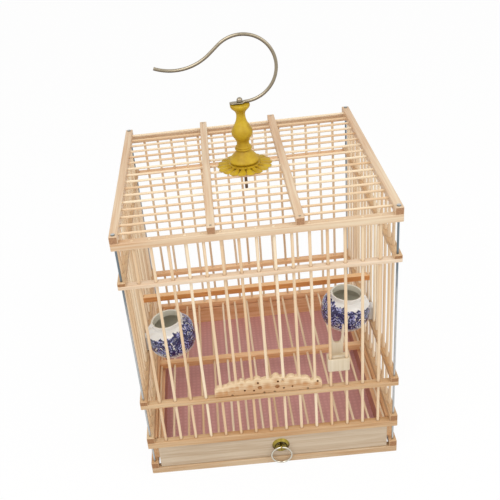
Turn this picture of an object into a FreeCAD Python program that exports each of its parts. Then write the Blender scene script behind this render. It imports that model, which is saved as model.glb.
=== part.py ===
import FreeCAD, Part
import math
import os
import re

import Sketcher
from FreeCAD import Placement, Rotation, Vector

# A square knock-down bamboo bird cage, 250 mm wide, with a hook to hang it by.
# Origin at the middle of the footprint, on the surface it stands on.
# +X to the right of someone facing the door, +Y to the back, +Z up. Millimetres.

# Driving dimensions, one sheet cell each
SIZES = {
    # Frame of square rails, stacked log-cabin fashion at the corners
    "cage_width": 250.0,
    "cage_depth": 250.0,
    "rail_wide": 7.4,
    "rail_tall": 7.0,
    "lower_rail_tall": 4.8,
    "upper_rail_tall": 3.6,
    "arris": 0.4,
    "bottom_level": 34.3,
    "lower_level": 86.3,
    "upper_level": 225.4,
    "top_level": 265.4,
    "skirt_play": 0.5,
    "skirt_recess": 1.7,
    "skirt_end_gap": 1.0,
    # Split-bamboo bars and rods
    "bar_count": 15,
    "bar_dia": 2.8,
    "bar_fit": 0.05,
    "bar_seat": 5.0,
    "side_bar_cover": 2.5,
    "roof_rod_dia": 2.4,
    "grate_rod_dia": 2.6,
    "grate_bar_wide": 7.6,
    "grate_bar_y": 5.0,
    "roof_beam_pitches": 2.5,
    "brad_dia": 1.2,
    "brad_head_dia": 2.4,
    "brad_head_thick": 0.5,
    "brad_length": 12.0,
    "perch_thick": 6.6,
    "perch_level": 130.0,
    "perch_prong": 2.2,
    # Steel corner pins that hold the walls together
    "pin_dia": 2.0,
    "pin_fit": 0.1,
    "pin_head_dia": 3.6,
    "pin_head_thick": 1.0,
    "pin_tip_lift": 1.5,
    # Tray drawer
    "drawer_gap": 2.4,
    "drawer_play": 0.2,
    "drawer_recess": 1.6,
    "drawer_front_thick": 7.0,
    "drawer_front_gap": 0.4,
    "drawer_wall": 5.0,
    "drawer_wall_tall": 25.0,
    "drawer_back_gap": 2.0,
    "tray_floor_thick": 3.0,
    "tray_floor_lift": 1.4,
    # Drop-ring pull on the drawer
    "pull_x": 8.2,
    "pull_level": 22.0,
    "rosette_dia": 17.5,
    "rosette_crest_dia": 12.6,
    "rosette_well_dia": 7.0,
    "rosette_rise": 2.2,
    "rosette_dish": 1.2,
    "rosette_gauge": 0.9,
    "staple_wire": 1.4,
    "staple_hole": 2.4,
    "staple_shank": 2.0,
    "staple_tail": 1.2,
    "staple_tail_dia": 5.0,
    "ring_wire": 1.8,
    "ring_dia": 22.0,
    # Sliding door
    "door_bar_count": 7,
    "door_fit": 0.1,
    "door_gap": 0.2,
    "carving_overhang": 6.2,
    "carving_tall": 20.0,
    "carving_thick": 6.0,
    "carving_seat": 4.5,
    "carving_eye_dia": 4.6,
    "carving_pinhole_dia": 2.0,
    # Fruit fork that runs on two front bars
    "fork_pitches": 4.5,
    "fork_level": 110.2,
    "fork_tall": 14.3,
    "fork_cheek": 2.7,
    "fork_depth": 11.2,
    "fork_skin": 1.6,
    "fork_fit": 0.1,
    "fork_plate_thick": 2.4,
    "fork_plate_wide": 14.0,
    "fork_plate_tall": 13.0,
    "prong_dia": 2.6,
    "prong_tip_dia": 1.4,
    "prong_length": 21.0,
    # Porcelain cups that hang on the lower side rails
    "cup_pitches_left": -2.5,
    "cup_pitches_right": -1.5,
    "cup_tall": 41.6,
    "cup_foot_dia": 29.0,
    "cup_belly_dia": 51.0,
    "cup_belly_level": 17.5,
    "cup_shoulder_level": 26.0,
    "cup_neck_dia": 33.2,
    "cup_neck_level": 36.8,
    "cup_rim_dia": 33.8,
    "cup_wall": 2.6,
    "cup_floor": 4.0,
    "cup_rail_gap": 0.4,
    "cup_overhang": 0.8,
    "cup_rim_rise": 35.1,
    "cup_lean_left": 8.0,
    "cup_lean_right": 5.0,
    "lug_wide": 11.0,
    "lug_thick": 3.4,
    "lug_rise": 16.0,
    "lug_drop": 3.8,
    "lug_gap": 0.4,
    # Turned knob, roof flower and the stud through them
    "stud_dia": 3.0,
    "stud_fit": 0.08,
    "stud_drop": 16.5,
    "flower_dia": 54.0,
    "flower_thick": 2.6,
    "flower_rim": 1.4,
    "petal_count": 18,
    "petal_notch_dia": 3.0,
    "knob_lip_dia": 27.4,
    "knob_lip_thick": 2.2,
    "knob_lip_round": 1.1,
    "knob_bell_dia": 13.0,
    "knob_bell_tall": 12.4,
    "knob_collar_dia": 18.0,
    "knob_collar_tall": 3.6,
    "knob_collar_edge": 1.1,
    "knob_waist_dia": 10.0,
    "knob_waist_tall": 6.0,
    "knob_bulb_dia": 20.4,
    "knob_bulb_tall": 18.0,
    "knob_bulb_widest": 8.3,
    "knob_neck_dia": 8.6,
    "knob_neck_tall": 8.7,
    "knob_cup_dia": 18.8,
    "knob_cup_tall": 9.4,
    "knob_cup_rim": 1.6,
    "cap_nut_dia": 5.6,
    "cap_nut_tall": 3.9,
    "cap_nut_skirt": 1.6,
    "cap_nut_bore": 2.3,
    "clamp_length": 28.0,
    "clamp_wide": 22.0,
    "clamp_thick": 3.0,
    "hex_nut_span": 6.4,
    "hex_nut_thick": 2.6,
    # Swivel hook of bent steel wire
    "hook_wire": 3.2,
    "hook_gap": 0.12,
    "hook_eye_thick": 2.2,
    "hook_eye_wide": 7.6,
    "hook_eye_back": 5.8,
    "hook_wire_start": 4.0,
    "hook_bend_x": 4.8,
    "hook_radius": 31.4,
    "hook_crown_turn": 40.5,
    "hook_neck": 10.8,
    "hook_tail_radius": 50.0,
    "hook_tail_turn": 23.3,
}

# Lengths and places that follow from the sheet
DERIVED = {
    "half_width": "cage_width / 2",
    "half_depth": "cage_depth / 2",
    "wall_x": "half_width - rail_wide / 2",
    "wall_y": "half_depth - rail_wide / 2",
    "pitch_x": "(cage_width - rail_wide) / (bar_count + 1)",
    "pitch_y": "(cage_depth - rail_wide) / (bar_count + 1)",
    "beam_bottom": "top_level + rail_tall",
    "roof_top": "beam_bottom + rail_tall",
    "roof_rod_level": "beam_bottom + rail_tall / 2",
    "side_bar_top": "roof_top - side_bar_cover",
    "grate_level": "bottom_level + rail_tall / 2",
    "door_bar_half": "(door_bar_count - 1) / 2",
    "carving_half": "door_bar_half * pitch_x + carving_overhang",
    "short_bar_top": "lower_level + lower_rail_tall * bar_seat / rail_tall",
    "carving_bottom": "lower_level + lower_rail_tall + door_gap",
    "drawer_half": "half_width - rail_wide - drawer_gap",
    "skirt_inner": "drawer_half + skirt_play",
    "drawer_bottom": "rail_tall + drawer_play",
    "drawer_face": "-half_depth + drawer_recess",
    "drawer_front_back": "drawer_face + drawer_front_thick",
    "drawer_back_inner": "half_depth - drawer_back_gap - drawer_wall",
    "staple_radius": "(staple_hole + staple_wire) / 2",
    "eye_y": "drawer_face - rosette_dish - staple_radius - staple_wire / 2",
    "ring_radius": "(ring_dia - ring_wire) / 2",
    "lug_level": "lower_level + 2 * lower_rail_tall",
    "cup_foot_level": "lug_level + cup_rim_rise - cup_tall",
    "cup_x": "half_width - rail_wide - cup_rail_gap + cup_overhang - cup_belly_dia / 2",
    "flower_level": "roof_rod_level + roof_rod_dia / 2",
    "knob_level": "flower_level + flower_thick",
    "bell_level": "knob_level + knob_lip_thick",
    "collar_level": "bell_level + knob_bell_tall",
    "waist_level": "collar_level + knob_collar_tall",
    "bulb_level": "waist_level + knob_waist_tall",
    "neck_level": "bulb_level + knob_bulb_tall",
    "knob_cup_level": "neck_level + knob_neck_tall",
    "knob_top": "knob_cup_level + knob_cup_tall",
    "eye_level": "knob_top + hook_gap",
    "wire_level": "knob_top + hook_gap + hook_wire / 2",
    "cap_nut_level": "eye_level + hook_eye_thick + hook_gap",
    "clamp_level": "roof_rod_level - roof_rod_dia / 2 - clamp_thick",
    "hex_nut_level": "clamp_level - hex_nut_thick",
    "stud_bottom": "hex_nut_level - stud_drop",
    "stud_hole": "stud_dia / 2 + stud_fit",
}

doc = FreeCAD.newDocument("BirdCage")
sheet = doc.addObject("Spreadsheet::Sheet", "Sizes")
for row, (name, number) in enumerate(SIZES.items(), start=1):
    sheet.set(f"A{row}", name)
    sheet.set(f"B{row}", str(number))
    sheet.setAlias(f"B{row}", name)
doc.recompute()

PARTS = []
ORIGIN = ("0", "0", "0")
TURNS = {
    "Z": Rotation(),
    "X": Rotation(Vector(0, 1, 0), 90),
    "Y": Rotation(Vector(1, 0, 0), -90),
}


def full(text):
    """An expression with every size and derived name spelled out for the document."""

    def spell(match):
        word = match.group(0)
        if word in DERIVED:
            return f"({full(DERIVED[word])})"
        return f"Sizes.{word}" if word in SIZES else word

    return re.sub(r"[a-z_]+", spell, text)


def value(text):
    return float(sheet.evalExpression(full(text)))


def bind(obj, prop, text):
    obj.setExpression(prop, full(text))


def place(obj, at, turn=None):
    """Puts an object at an (x, y, z) of expressions, turned by a fixed rotation."""
    obj.Placement = Placement(Vector(), turn or Rotation())
    for axis, text in zip("xyz", at):
        bind(obj, f"Placement.Base.{axis}", text)
    return obj


def keep(obj, label):
    """Marks an object as a sub-part with its own file."""
    obj.Label = label
    PARTS.append(obj)
    return obj


def block(low, high):
    """A box between two corners given as expressions."""
    box = place(doc.addObject("Part::Box", "block"), low)
    for prop, start, end in zip(("Length", "Width", "Height"), low, high):
        bind(box, prop, f"({end}) - ({start})")
    return box


def stick(low, high):
    """A planed stick: a box between two corners with its arrises taken off."""
    body = place(doc.addObject("PartDesign::Body", "stick"), low)
    box = body.newObject("PartDesign::AdditiveBox", "blank")
    for prop, start, end in zip(("Length", "Width", "Height"), low, high):
        bind(box, prop, f"({end}) - ({start})")
    doc.recompute()
    arris = body.newObject("PartDesign::Chamfer", "arris")
    arris.Base = (box, [""])
    arris.UseAllEdges = True
    bind(arris, "Size", "arris")
    return body


def rod(axis, start, length, dia):
    """A round rod along X, Y or Z from its start point."""
    cylinder = place(doc.addObject("Part::Cylinder", "rod"), start, TURNS[axis])
    bind(cylinder, "Radius", f"({dia}) / 2")
    bind(cylinder, "Height", length)
    return cylinder


def group(objects):
    compound = doc.addObject("Part::Compound", "group")
    compound.Links = objects
    return compound


def cut(base, tools):
    result = doc.addObject("Part::Cut", "cut")
    result.Base = base
    result.Tool = tools[0] if len(tools) == 1 else group(tools)
    return result


def fuse(objects):
    result = doc.addObject("Part::MultiFuse", "fuse")
    result.Shapes = objects
    return result


def sketch_on(body, role):
    plane = next(item for item in body.Origin.OriginFeatures if item.Role == role)
    sketch = body.newObject("Sketcher::SketchObject", "profile")
    sketch.AttachmentSupport = [(plane, "")]
    sketch.MapMode = "FlatFace"
    return sketch


def arc_centre(start, end, radius, turn):
    """Centre of the arc from start to end; turn is 1 for anticlockwise, -1 for clockwise."""
    chord = end - start
    rise = math.sqrt(max(radius**2 - (chord.Length / 2) ** 2, 0))
    side = Vector(-chord.y, chord.x, 0).normalize()
    return start + chord * 0.5 + side * rise * turn


def trace(sketch, points, closed=True, long_arc=()):
    """Draws lines and arcs through points of expressions, each pinned to the origin.

    A point is (x, y) after a line, or (x, y, radius, turn) after an arc.
    long_arc lists the points whose arc goes the long way round.
    """
    spots = [Vector(value(point[0]), value(point[1]), 0) for point in points]
    order = range(len(points) if closed else len(points) - 1)
    ends = []
    for index in order:
        target = (index + 1) % len(points)
        start, end = spots[index], spots[target]
        if len(points[target]) == 2:
            number = sketch.addGeometry(Part.LineSegment(start, end))
            ends.append((number, 1, 2))
            continue
        radius, turn = value(points[target][2]), points[target][3]
        side = -turn if target in long_arc else turn
        centre = arc_centre(start, end, radius, side)
        first, last = (start, end) if turn > 0 else (end, start)
        angles = [math.atan2(spot.y - centre.y, spot.x - centre.x) for spot in (first, last)]
        circle = Part.Circle(centre, Vector(0, 0, 1), radius)
        number = sketch.addGeometry(Part.ArcOfCircle(circle, *angles))
        ends.append((number, 1, 2) if turn > 0 else (number, 2, 1))
        added = sketch.addConstraint(Sketcher.Constraint("Radius", number, radius))
        bind(sketch, f"Constraints[{added}]", points[target][2])
    pinned = [(ends[index][0], ends[index][1], index) for index in order]
    if not closed:
        pinned.append((ends[-1][0], ends[-1][2], len(points) - 1))
    for number, end, index in pinned:
        for kind, text in zip(("DistanceX", "DistanceY"), points[index][:2]):
            link = Sketcher.Constraint(kind, -1, 1, number, end, value(text))
            added = sketch.addConstraint(link)
            bind(sketch, f"Constraints[{added}]", text)
    for index in order:
        following = index + 1
        if following == len(ends):
            if not closed:
                break
            following = 0
        here, there = ends[index], ends[following]
        sketch.addConstraint(Sketcher.Constraint("Coincident", here[0], here[2], there[0], there[1]))


def turned(points, at=ORIGIN, turn=None):
    """A solid of revolution about its own Z, from a profile of (radius, height) expressions."""
    body = place(doc.addObject("PartDesign::Body", "turned"), at, turn)
    sketch = sketch_on(body, "XZ_Plane")
    trace(sketch, points)
    revolution = body.newObject("PartDesign::Revolution", "revolution")
    revolution.Profile = sketch
    revolution.ReferenceAxis = (sketch, ["V_Axis"])
    return body


def level_arc(start, end):
    """Radius of an arc from start to end whose tangent is upright at its end."""
    (start_r, start_h), (end_r, end_h) = start, end
    across = f"(({end_r}) - ({start_r}))"
    along = f"(({end_h}) - ({start_h}))"
    return f"({across}^2 + {along}^2) / (2 * abs({across}))"


def row_offsets(count, pitch, skip=()):
    """Offsets of a centred row; skip leaves out steps counted from the middle."""
    steps = [index - (count - 1) / 2 for index in range(count)]
    return [f"{step} * {pitch}" for step in steps if step not in skip]


bar_count = int(value("bar_count"))
door_steps = [index - value("door_bar_half") for index in range(int(value("door_bar_count")))]
fixed_x = row_offsets(bar_count, "pitch_x", skip=door_steps)
door_x = [f"{step} * pitch_x" for step in door_steps]
wall_bar_x = row_offsets(bar_count, "pitch_x")
wall_bar_y = row_offsets(bar_count, "pitch_y")
staggered_x = row_offsets(bar_count + 1, "pitch_x")
staggered_y = row_offsets(bar_count + 1, "pitch_y")
BAR_HOLE = "bar_dia + 2 * bar_fit"
GRATE_HOLE = "grate_rod_dia + 2 * bar_fit"
ROOF_HOLE = "roof_rod_dia + 2 * bar_fit"
DOOR_HOLE = "bar_dia + 2 * door_fit"
PIN_HOLE = "pin_dia + 2 * pin_fit"
SIDES = {"left": "-1", "right": "1"}
ENDS = {"front": "-1", "back": "1"}
CORNERS = [(end, side) for end in ENDS for side in SIDES]
LEVELS = {
    "base": ("0", "rail_tall"),
    "bottom": ("bottom_level", "rail_tall"),
    "lower": ("lower_level", "lower_rail_tall"),
    "upper": ("upper_level", "upper_rail_tall"),
    "top": ("top_level", "rail_tall"),
}


def uprights(spots, bottom, top, dia):
    return [rod("Z", (x, y, bottom), f"({top}) - ({bottom})", dia) for x, y in spots]


def wall_spots(sign, xs):
    return [(x, f"{sign} * wall_y") for x in xs]


def side_spots(sign, ys):
    return [(f"{sign} * wall_x", y) for y in ys]


def roof_rods(dia, reach):
    """Rods across the roof, staggered between the side bars so that they miss them."""
    length = f"2 * ({reach})"
    return [rod("X", (f"-({reach})", y, "roof_rod_level"), length, dia) for y in staggered_y]


def grate_rods(dia, reach):
    """Rods of the floor grate, staggered between the front bars."""
    length = f"2 * ({reach})"
    return [rod("Y", (x, f"-({reach})", "grate_level"), length, dia) for x in staggered_x]


def drills():
    """Holes through the rails, each set made once and shared by the rails it crosses."""
    corner_spots = [(f"{SIDES[side]} * wall_x", f"{ENDS[end]} * wall_y") for end, side in CORNERS]
    over = "roof_top + rail_tall"
    under = "-rail_tall"
    front, back = ENDS["front"], ENDS["back"]
    beam_spots = [(f"{SIDES[side]} * roof_beam_pitches * pitch_x", f"{ENDS[end]} * wall_y")
                  for end, side in CORNERS]
    side_bars = [spot for sign in SIDES.values() for spot in side_spots(sign, wall_bar_y)]
    return {
        "pins": group(uprights(corner_spots, under, over, PIN_HOLE)),
        "front_fixed": group(uprights(wall_spots(front, fixed_x), under, over, BAR_HOLE)),
        "front_short": group(
            uprights(wall_spots(front, door_x), under, "short_bar_top", BAR_HOLE)),
        "front_door": group(uprights(wall_spots(front, door_x), under, over, DOOR_HOLE)),
        "back": group(uprights(wall_spots(back, wall_bar_x), under, over, BAR_HOLE)),
        "sides": group(uprights(side_bars, under, "side_bar_top", BAR_HOLE)),
        "roof": group(roof_rods(ROOF_HOLE, "half_width - rail_wide + bar_seat")),
        "grate": group(grate_rods(GRATE_HOLE, "half_depth - rail_wide + bar_seat")),
        "brads": group([brad(spot, "bar_fit") for spot in beam_spots]),
    }


def brad(spot, fit):
    """A small nail, head flush with the top of a roof beam."""
    shank = f"brad_dia / 2 + {fit}"
    head = f"brad_head_dia / 2 + {fit}"
    profile = [
        ("0", f"-brad_length - {fit}"),
        (shank, f"-brad_length - {fit}"),
        (shank, f"-brad_head_thick - {fit}"),
        (head, f"-brad_head_thick - {fit}"),
        (head, "0"),
        ("0", "0"),
    ]
    return turned(profile, (*spot, "roof_top"))


HOLES = drills()


def wall_rails():
    """Front and back rails, which run the full width at five levels."""
    crossing = {
        ("front", "top"): ("front_fixed", "front_door", "pins", "brads"),
        ("front", "upper"): ("front_fixed", "front_door", "pins"),
        ("front", "lower"): ("front_fixed", "front_short", "pins"),
        ("front", "bottom"): ("front_fixed", "front_short", "pins", "grate"),
        ("front", "base"): ("pins",),
        ("back", "top"): ("back", "pins", "brads"),
        ("back", "upper"): ("back", "pins"),
        ("back", "lower"): ("back", "pins"),
        ("back", "bottom"): ("back", "pins", "grate"),
        ("back", "base"): ("pins",),
    }
    for (end, level), tools in crossing.items():
        middle = f"{ENDS[end]} * wall_y"
        bottom, tall = LEVELS[level]
        low = ("-half_width", f"{middle} - rail_wide / 2", bottom)
        high = ("half_width", f"{middle} + rail_wide / 2", f"{bottom} + {tall}")
        blank = stick(low, high)
        keep(cut(blank, [HOLES[tool] for tool in tools]), f"{end}_{level}_rail")


def side_rails():
    """Left and right rails, each lying on the ends of the front and back rails."""
    for side, sign in SIDES.items():
        for level, (floor, tall) in LEVELS.items():
            middle = f"{sign} * wall_x"
            bottom = f"{floor} + {tall}"
            low = (f"{middle} - rail_wide / 2", "-half_depth", bottom)
            high = (f"{middle} + rail_wide / 2", "half_depth", f"{bottom} + {tall}")
            tools = ["pins"]
            if level != "base":
                tools.append("sides")
            if level == "top":
                tools.append("roof")
            name = f"{side}_top_beam" if level == "top" else f"{side}_{level}_rail"
            keep(cut(stick(low, high), [HOLES[tool] for tool in tools]), name)


def roof():
    """Two middle beams, the rods across them and the brads that nail the beams down."""
    for side, sign in SIDES.items():
        middle = f"{sign} * roof_beam_pitches * pitch_x"
        low = (f"{middle} - rail_wide / 2", "-half_depth", "beam_bottom")
        high = (f"{middle} + rail_wide / 2", "half_depth", "roof_top")
        beam = cut(stick(low, high), [HOLES["roof"], HOLES["brads"]])
        keep(beam, f"roof_mid_beam_{side}")
    keep(group(roof_rods("roof_rod_dia", "half_width - rail_wide + bar_seat")), "roof_rods")
    spots = [(f"{SIDES[side]} * roof_beam_pitches * pitch_x", f"{ENDS[end]} * wall_y")
             for end, side in CORNERS]
    keep(group([brad(spot, "0") for spot in spots]), "roof_brads")


def bars():
    """Upright bars of the four walls, let into the rails."""
    front, back = ENDS["front"], ENDS["back"]
    half = len(fixed_x) // 2
    for name, xs in (("front_left_bars", fixed_x[:half]), ("front_right_bars", fixed_x[half:])):
        keep(group(uprights(wall_spots(front, xs), "bottom_level", "beam_bottom", "bar_dia")), name)
    short = uprights(wall_spots(front, door_x), "bottom_level", "short_bar_top", "bar_dia")
    keep(group(short), "front_short_bars")
    tall = uprights(wall_spots(back, wall_bar_x), "bottom_level", "beam_bottom", "bar_dia")
    keep(group(tall), "back_bars")
    for side, sign in SIDES.items():
        spots = side_spots(sign, wall_bar_y)
        row = uprights(spots, "bottom_level + rail_tall", "side_bar_top", "bar_dia")
        keep(group(row), f"{side}_bars")


def floor_grate():
    """Rods that the bird walks over, threaded through one cross bar."""
    keep(group(grate_rods("grate_rod_dia", "half_depth - rail_wide + bar_seat")), "floor_grate_rods")
    low = ("-skirt_inner", "grate_bar_y - grate_bar_wide / 2", "bottom_level")
    high = ("skirt_inner", "grate_bar_y + grate_bar_wide / 2", "bottom_level + rail_tall")
    keep(cut(stick(low, high), [HOLES["grate"]]), "floor_grate_bar")


def skirts():
    """Boards that close the sides beside the drawer."""
    inner, outer = "skirt_inner", "half_width - skirt_recess"
    reach = "half_depth - rail_wide - skirt_end_gap"
    for side, start, end in (("left", f"-({outer})", f"-{inner}"), ("right", inner, outer)):
        low = (start, f"-({reach})", "2 * rail_tall")
        high = (end, reach, "bottom_level + rail_tall")
        keep(block(low, high), f"{side}_skirt")


def perch():
    """A square perch whose notched ends grip the middle bar of each side wall."""
    half = "perch_thick / 2"
    reach = "wall_x + bar_dia / 2 + perch_prong"
    low = (f"-({reach})", f"-{half}", "perch_level")
    high = (reach, half, "perch_level + perch_thick")
    slot = "bar_dia / 2 + bar_fit"
    notches = []
    for start, end in ((f"-({reach}) - perch_prong", f"-wall_x + {slot}"),
                       (f"wall_x - ({slot})", f"{reach} + perch_prong")):
        floor = (start, f"-({slot})", "perch_level - perch_thick")
        notches.append(block(floor, (end, slot, "perch_level + 2 * perch_thick")))
    keep(cut(stick(low, high), notches), "perch")


def corner_pins():
    """Headed steel pins down each corner; pulling them lets the walls come apart."""
    for end, side in CORNERS:
        profile = [
            ("0", "pin_tip_lift"),
            ("pin_dia / 2", "pin_tip_lift"),
            ("pin_dia / 2", "roof_top"),
            ("pin_head_dia / 2", "roof_top"),
            ("pin_head_dia / 2", "roof_top + pin_head_thick"),
            ("0", "roof_top + pin_head_thick"),
        ]
        spot = (f"{SIDES[side]} * wall_x", f"{ENDS[end]} * wall_y", "0")
        keep(turned(profile, spot), f"corner_pin_{end}_{side}")


def drawer():
    """Tray that slides out under the grate: front, back, two sides and a let-in floor."""
    top = "drawer_bottom + drawer_wall_tall"
    low = ("-drawer_half", "drawer_face", "drawer_bottom")
    high = ("drawer_half", "drawer_front_back", "bottom_level - drawer_front_gap")
    bore = rod("Y", ("pull_x", "drawer_face - drawer_front_thick", "pull_level"),
               "3 * drawer_front_thick", "staple_shank + 2 * bar_fit")
    keep(cut(stick(low, high), [bore]), "drawer_front")
    low = ("-drawer_half", "drawer_back_inner", "drawer_bottom")
    keep(stick(low, ("drawer_half", "drawer_back_inner + drawer_wall", top)), "drawer_back")
    for side, sign in SIDES.items():
        middle = f"{sign} * (drawer_half - drawer_wall / 2)"
        low = (f"{middle} - drawer_wall / 2", "drawer_front_back", "drawer_bottom")
        high = (f"{middle} + drawer_wall / 2", "drawer_back_inner", top)
        keep(stick(low, high), f"drawer_{side}_side")
    floor = "drawer_bottom + tray_floor_lift"
    low = ("-(drawer_half - drawer_wall)", "drawer_front_back", floor)
    high = ("drawer_half - drawer_wall", "drawer_back_inner", f"{floor} + tray_floor_thick")
    keep(block(low, high), "drawer_floor")


def drawer_pull():
    """Dished brass rosette, the staple through it and the drop ring that hangs in the staple."""
    rim = "rosette_dia / 2"
    crest = "rosette_crest_dia / 2"
    well = "rosette_well_dia / 2"
    hole = "staple_shank / 2 + bar_fit"
    rosette = [
        (hole, "rosette_dish - rosette_gauge"),
        (well, "rosette_dish - rosette_gauge"),
        (crest, "rosette_rise - rosette_gauge"),
        (f"{rim} - rosette_gauge", "0"),
        (rim, "0"),
        (crest, "rosette_rise"),
        (well, "rosette_dish"),
        (hole, "rosette_dish"),
    ]
    facing_front = Rotation(Vector(1, 0, 0), 90)
    spot = ("pull_x", "drawer_face", "pull_level")
    keep(turned(rosette, spot, facing_front), "pull_rosette")
    eye = doc.addObject("Part::Torus", "eye")
    bind(eye, "Radius1", "staple_radius")
    bind(eye, "Radius2", "staple_wire / 2")
    place(eye, ("pull_x", "eye_y", "pull_level"), TURNS["X"])
    start = "eye_y + staple_radius"
    shank = rod("Y", ("pull_x", start, "pull_level"), f"drawer_front_back + staple_tail - ({start})",
                "staple_shank")
    tail = rod("Y", ("pull_x", "drawer_front_back", "pull_level"), "staple_tail", "staple_tail_dia")
    keep(fuse([eye, shank, tail]), "pull_staple")
    ring = doc.addObject("Part::Torus", "ring")
    bind(ring, "Radius1", "ring_radius")
    bind(ring, "Radius2", "ring_wire / 2")
    keep(place(ring, ("pull_x", "eye_y", "pull_level - ring_radius"), TURNS["Y"]), "pull_ring")


# Top edge of the carved cresting from its middle to one end, as shares of the half length
# and of the height: each place where two swells meet, and how far the swell before it rises
CRESTING = [
    (0.10, 0.74, 0.14),
    (0.31, 0.76, 0.25),
    (0.57, 0.58, 0.19),
    (0.80, 0.40, 0.11),
    (1.00, 0.22, 0.25),
]
CARVING_EYES = [(0.175, 0.40)]
CARVING_PINHOLES = [(0.20, 0.68), (0.31, 0.28), (0.46, 0.28), (0.92, 0.34)]


def cresting_outline():
    """The carving's outline: swells along the top from left to right, then a flat foot."""
    ends = [(f"-{share} * carving_half", f"{up} * carving_tall") for share, up, swell in CRESTING]
    points = [*reversed(ends), *((x.lstrip("-"), z) for x, z in ends)]
    rises = [swell for share, up, swell in CRESTING]
    outline = [("-carving_half", "0"), points[0]]
    for before, after, rise in zip(points, points[1:], [*reversed(rises), *rises[1:]]):
        chord = f"((({after[0]}) - ({before[0]}))^2 + (({after[1]}) - ({before[1]}))^2) / 4"
        swell = f"({rise} * carving_tall)"
        outline.append((*after, f"({chord} + {swell}^2) / (2 * {swell})", -1))
    outline.append(("carving_half", "0"))
    return outline


def door_carving():
    """Carved cresting along the foot of the door, drilled for the door bars."""
    body = place(doc.addObject("PartDesign::Body", "carving"), ("0", "-wall_y", "carving_bottom"))
    sketch = sketch_on(body, "XZ_Plane")
    trace(sketch, cresting_outline())
    pad = body.newObject("PartDesign::Pad", "board")
    pad.Profile = sketch
    pad.Midplane = True
    bind(pad, "Length", "carving_thick")
    drilled = [(share, up, "carving_eye_dia") for share, up in CARVING_EYES]
    drilled += [(share, up, "carving_pinhole_dia") for share, up in CARVING_PINHOLES]
    front = "-wall_y - carving_thick"
    holes = []
    for share, up, dia in drilled:
        level = f"carving_bottom + {up} * carving_tall"
        for sign in SIDES.values():
            spot = (f"{sign} * {share} * carving_half", front, level)
            holes.append(rod("Y", spot, "2 * carving_thick", dia))
    foot = "carving_bottom + carving_seat"
    spots = wall_spots(ENDS["front"], door_x)
    seats = uprights(spots, foot, "upper_level", BAR_HOLE)
    keep(cut(body, [*holes, *seats]), "door_carving")
    keep(group(uprights(spots, foot, "beam_bottom", "bar_dia")), "door_bars")


def fruit_fork():
    """Block that runs on two front bars, with a two-pronged fork at the back of its top."""
    middle = "fork_pitches * pitch_x"
    half = "pitch_x / 2 + fork_cheek"
    front = "-wall_y - bar_dia / 2 - fork_skin"
    back = f"{front} + fork_depth"
    top = "fork_level + fork_tall"
    body = stick((f"{middle} - ({half})", front, "fork_level"), (f"{middle} + {half}", back, top))
    bores = [rod("Z", (f"{middle} + {step} * pitch_x", "-wall_y", "fork_level - fork_tall"),
                 "3 * fork_tall", "bar_dia + 2 * fork_fit") for step in (-0.5, 0.5)]
    plate_half = "fork_plate_wide / 2"
    plate_low = (f"{middle} - {plate_half}", f"{back} - fork_plate_thick", f"{top} - fork_plate_thick")
    plate_high = (f"{middle} + {plate_half}", back, f"{top} + fork_plate_tall")
    prongs = []
    for sign in ("-1", "1"):
        prong = doc.addObject("Part::Cone", "prong")
        bind(prong, "Radius1", "prong_dia / 2")
        bind(prong, "Radius2", "prong_tip_dia / 2")
        bind(prong, "Height", "prong_length")
        spot = f"{middle} + {sign} * (fork_plate_wide - prong_dia) / 2"
        place(prong, (spot, f"{back} - fork_plate_thick / 2", f"{top} + fork_plate_tall - prong_tip_dia"))
        prongs.append(prong)
    keep(fuse([cut(body, bores), stick(plate_low, plate_high), *prongs]), "fruit_fork")


def cup_profile(inset, floor):
    """Outline of a cup's outside, or of its hollow when inset by the wall."""
    foot = (f"cup_foot_dia / 2 - {inset}", floor)
    belly = (f"cup_belly_dia / 2 - {inset}", "cup_belly_level")
    shoulder = (f"cup_belly_dia / 2 - {inset}", "cup_shoulder_level")
    neck = (f"cup_neck_dia / 2 - {inset}", "cup_neck_level")
    rim = (f"cup_rim_dia / 2 - {inset}", "cup_tall")
    return [
        ("0", floor),
        foot,
        (*belly, level_arc(foot, belly), 1),
        shoulder,
        (*neck, level_arc(neck, shoulder), 1),
        (*rim, level_arc(rim, neck), -1),
        ("0", "cup_tall"),
    ]


def cups():
    """Porcelain feed and water cups; a lug passes between two bars and hooks over the rail."""
    for side, sign in SIDES.items():
        y = f"cup_pitches_{side} * pitch_y"
        lean = f"{sign} * cup_lean_{side}"
        shift = f"cup_x - (cup_belly_level * sin({lean} * {sign}))"
        spot = (f"{sign} * ({shift})", y, "cup_foot_level")
        outside = turned(cup_profile("0", "0"), spot)
        hollow = turned(cup_profile("cup_wall", "cup_floor"), spot)
        for solid in (outside, hollow):
            solid.Placement.Rotation = Rotation(Vector(0, 1, 0), 1)
            bind(solid, "Placement.Rotation.Angle", lean)
        inner = "cup_x + cup_belly_dia / 2 - cup_wall"
        outer = "half_width + lug_gap + lug_thick"
        low_y, high_y = f"{y} - lug_wide / 2", f"{y} + lug_wide / 2"
        level = "lug_level"
        spans = [
            ((inner, level), (outer, f"{level} + lug_rise")),
            (("half_width + lug_gap", f"{level} - lug_drop"), (outer, level)),
        ]
        lugs = []
        for (near, bottom), (far, top) in spans:
            start, end = (near, far) if side == "right" else (f"-({far})", f"-({near})")
            lugs.append(block((start, low_y, bottom), (end, high_y, top)))
        keep(cut(fuse([outside, *lugs]), [hollow]), f"{side}_cup")


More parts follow.
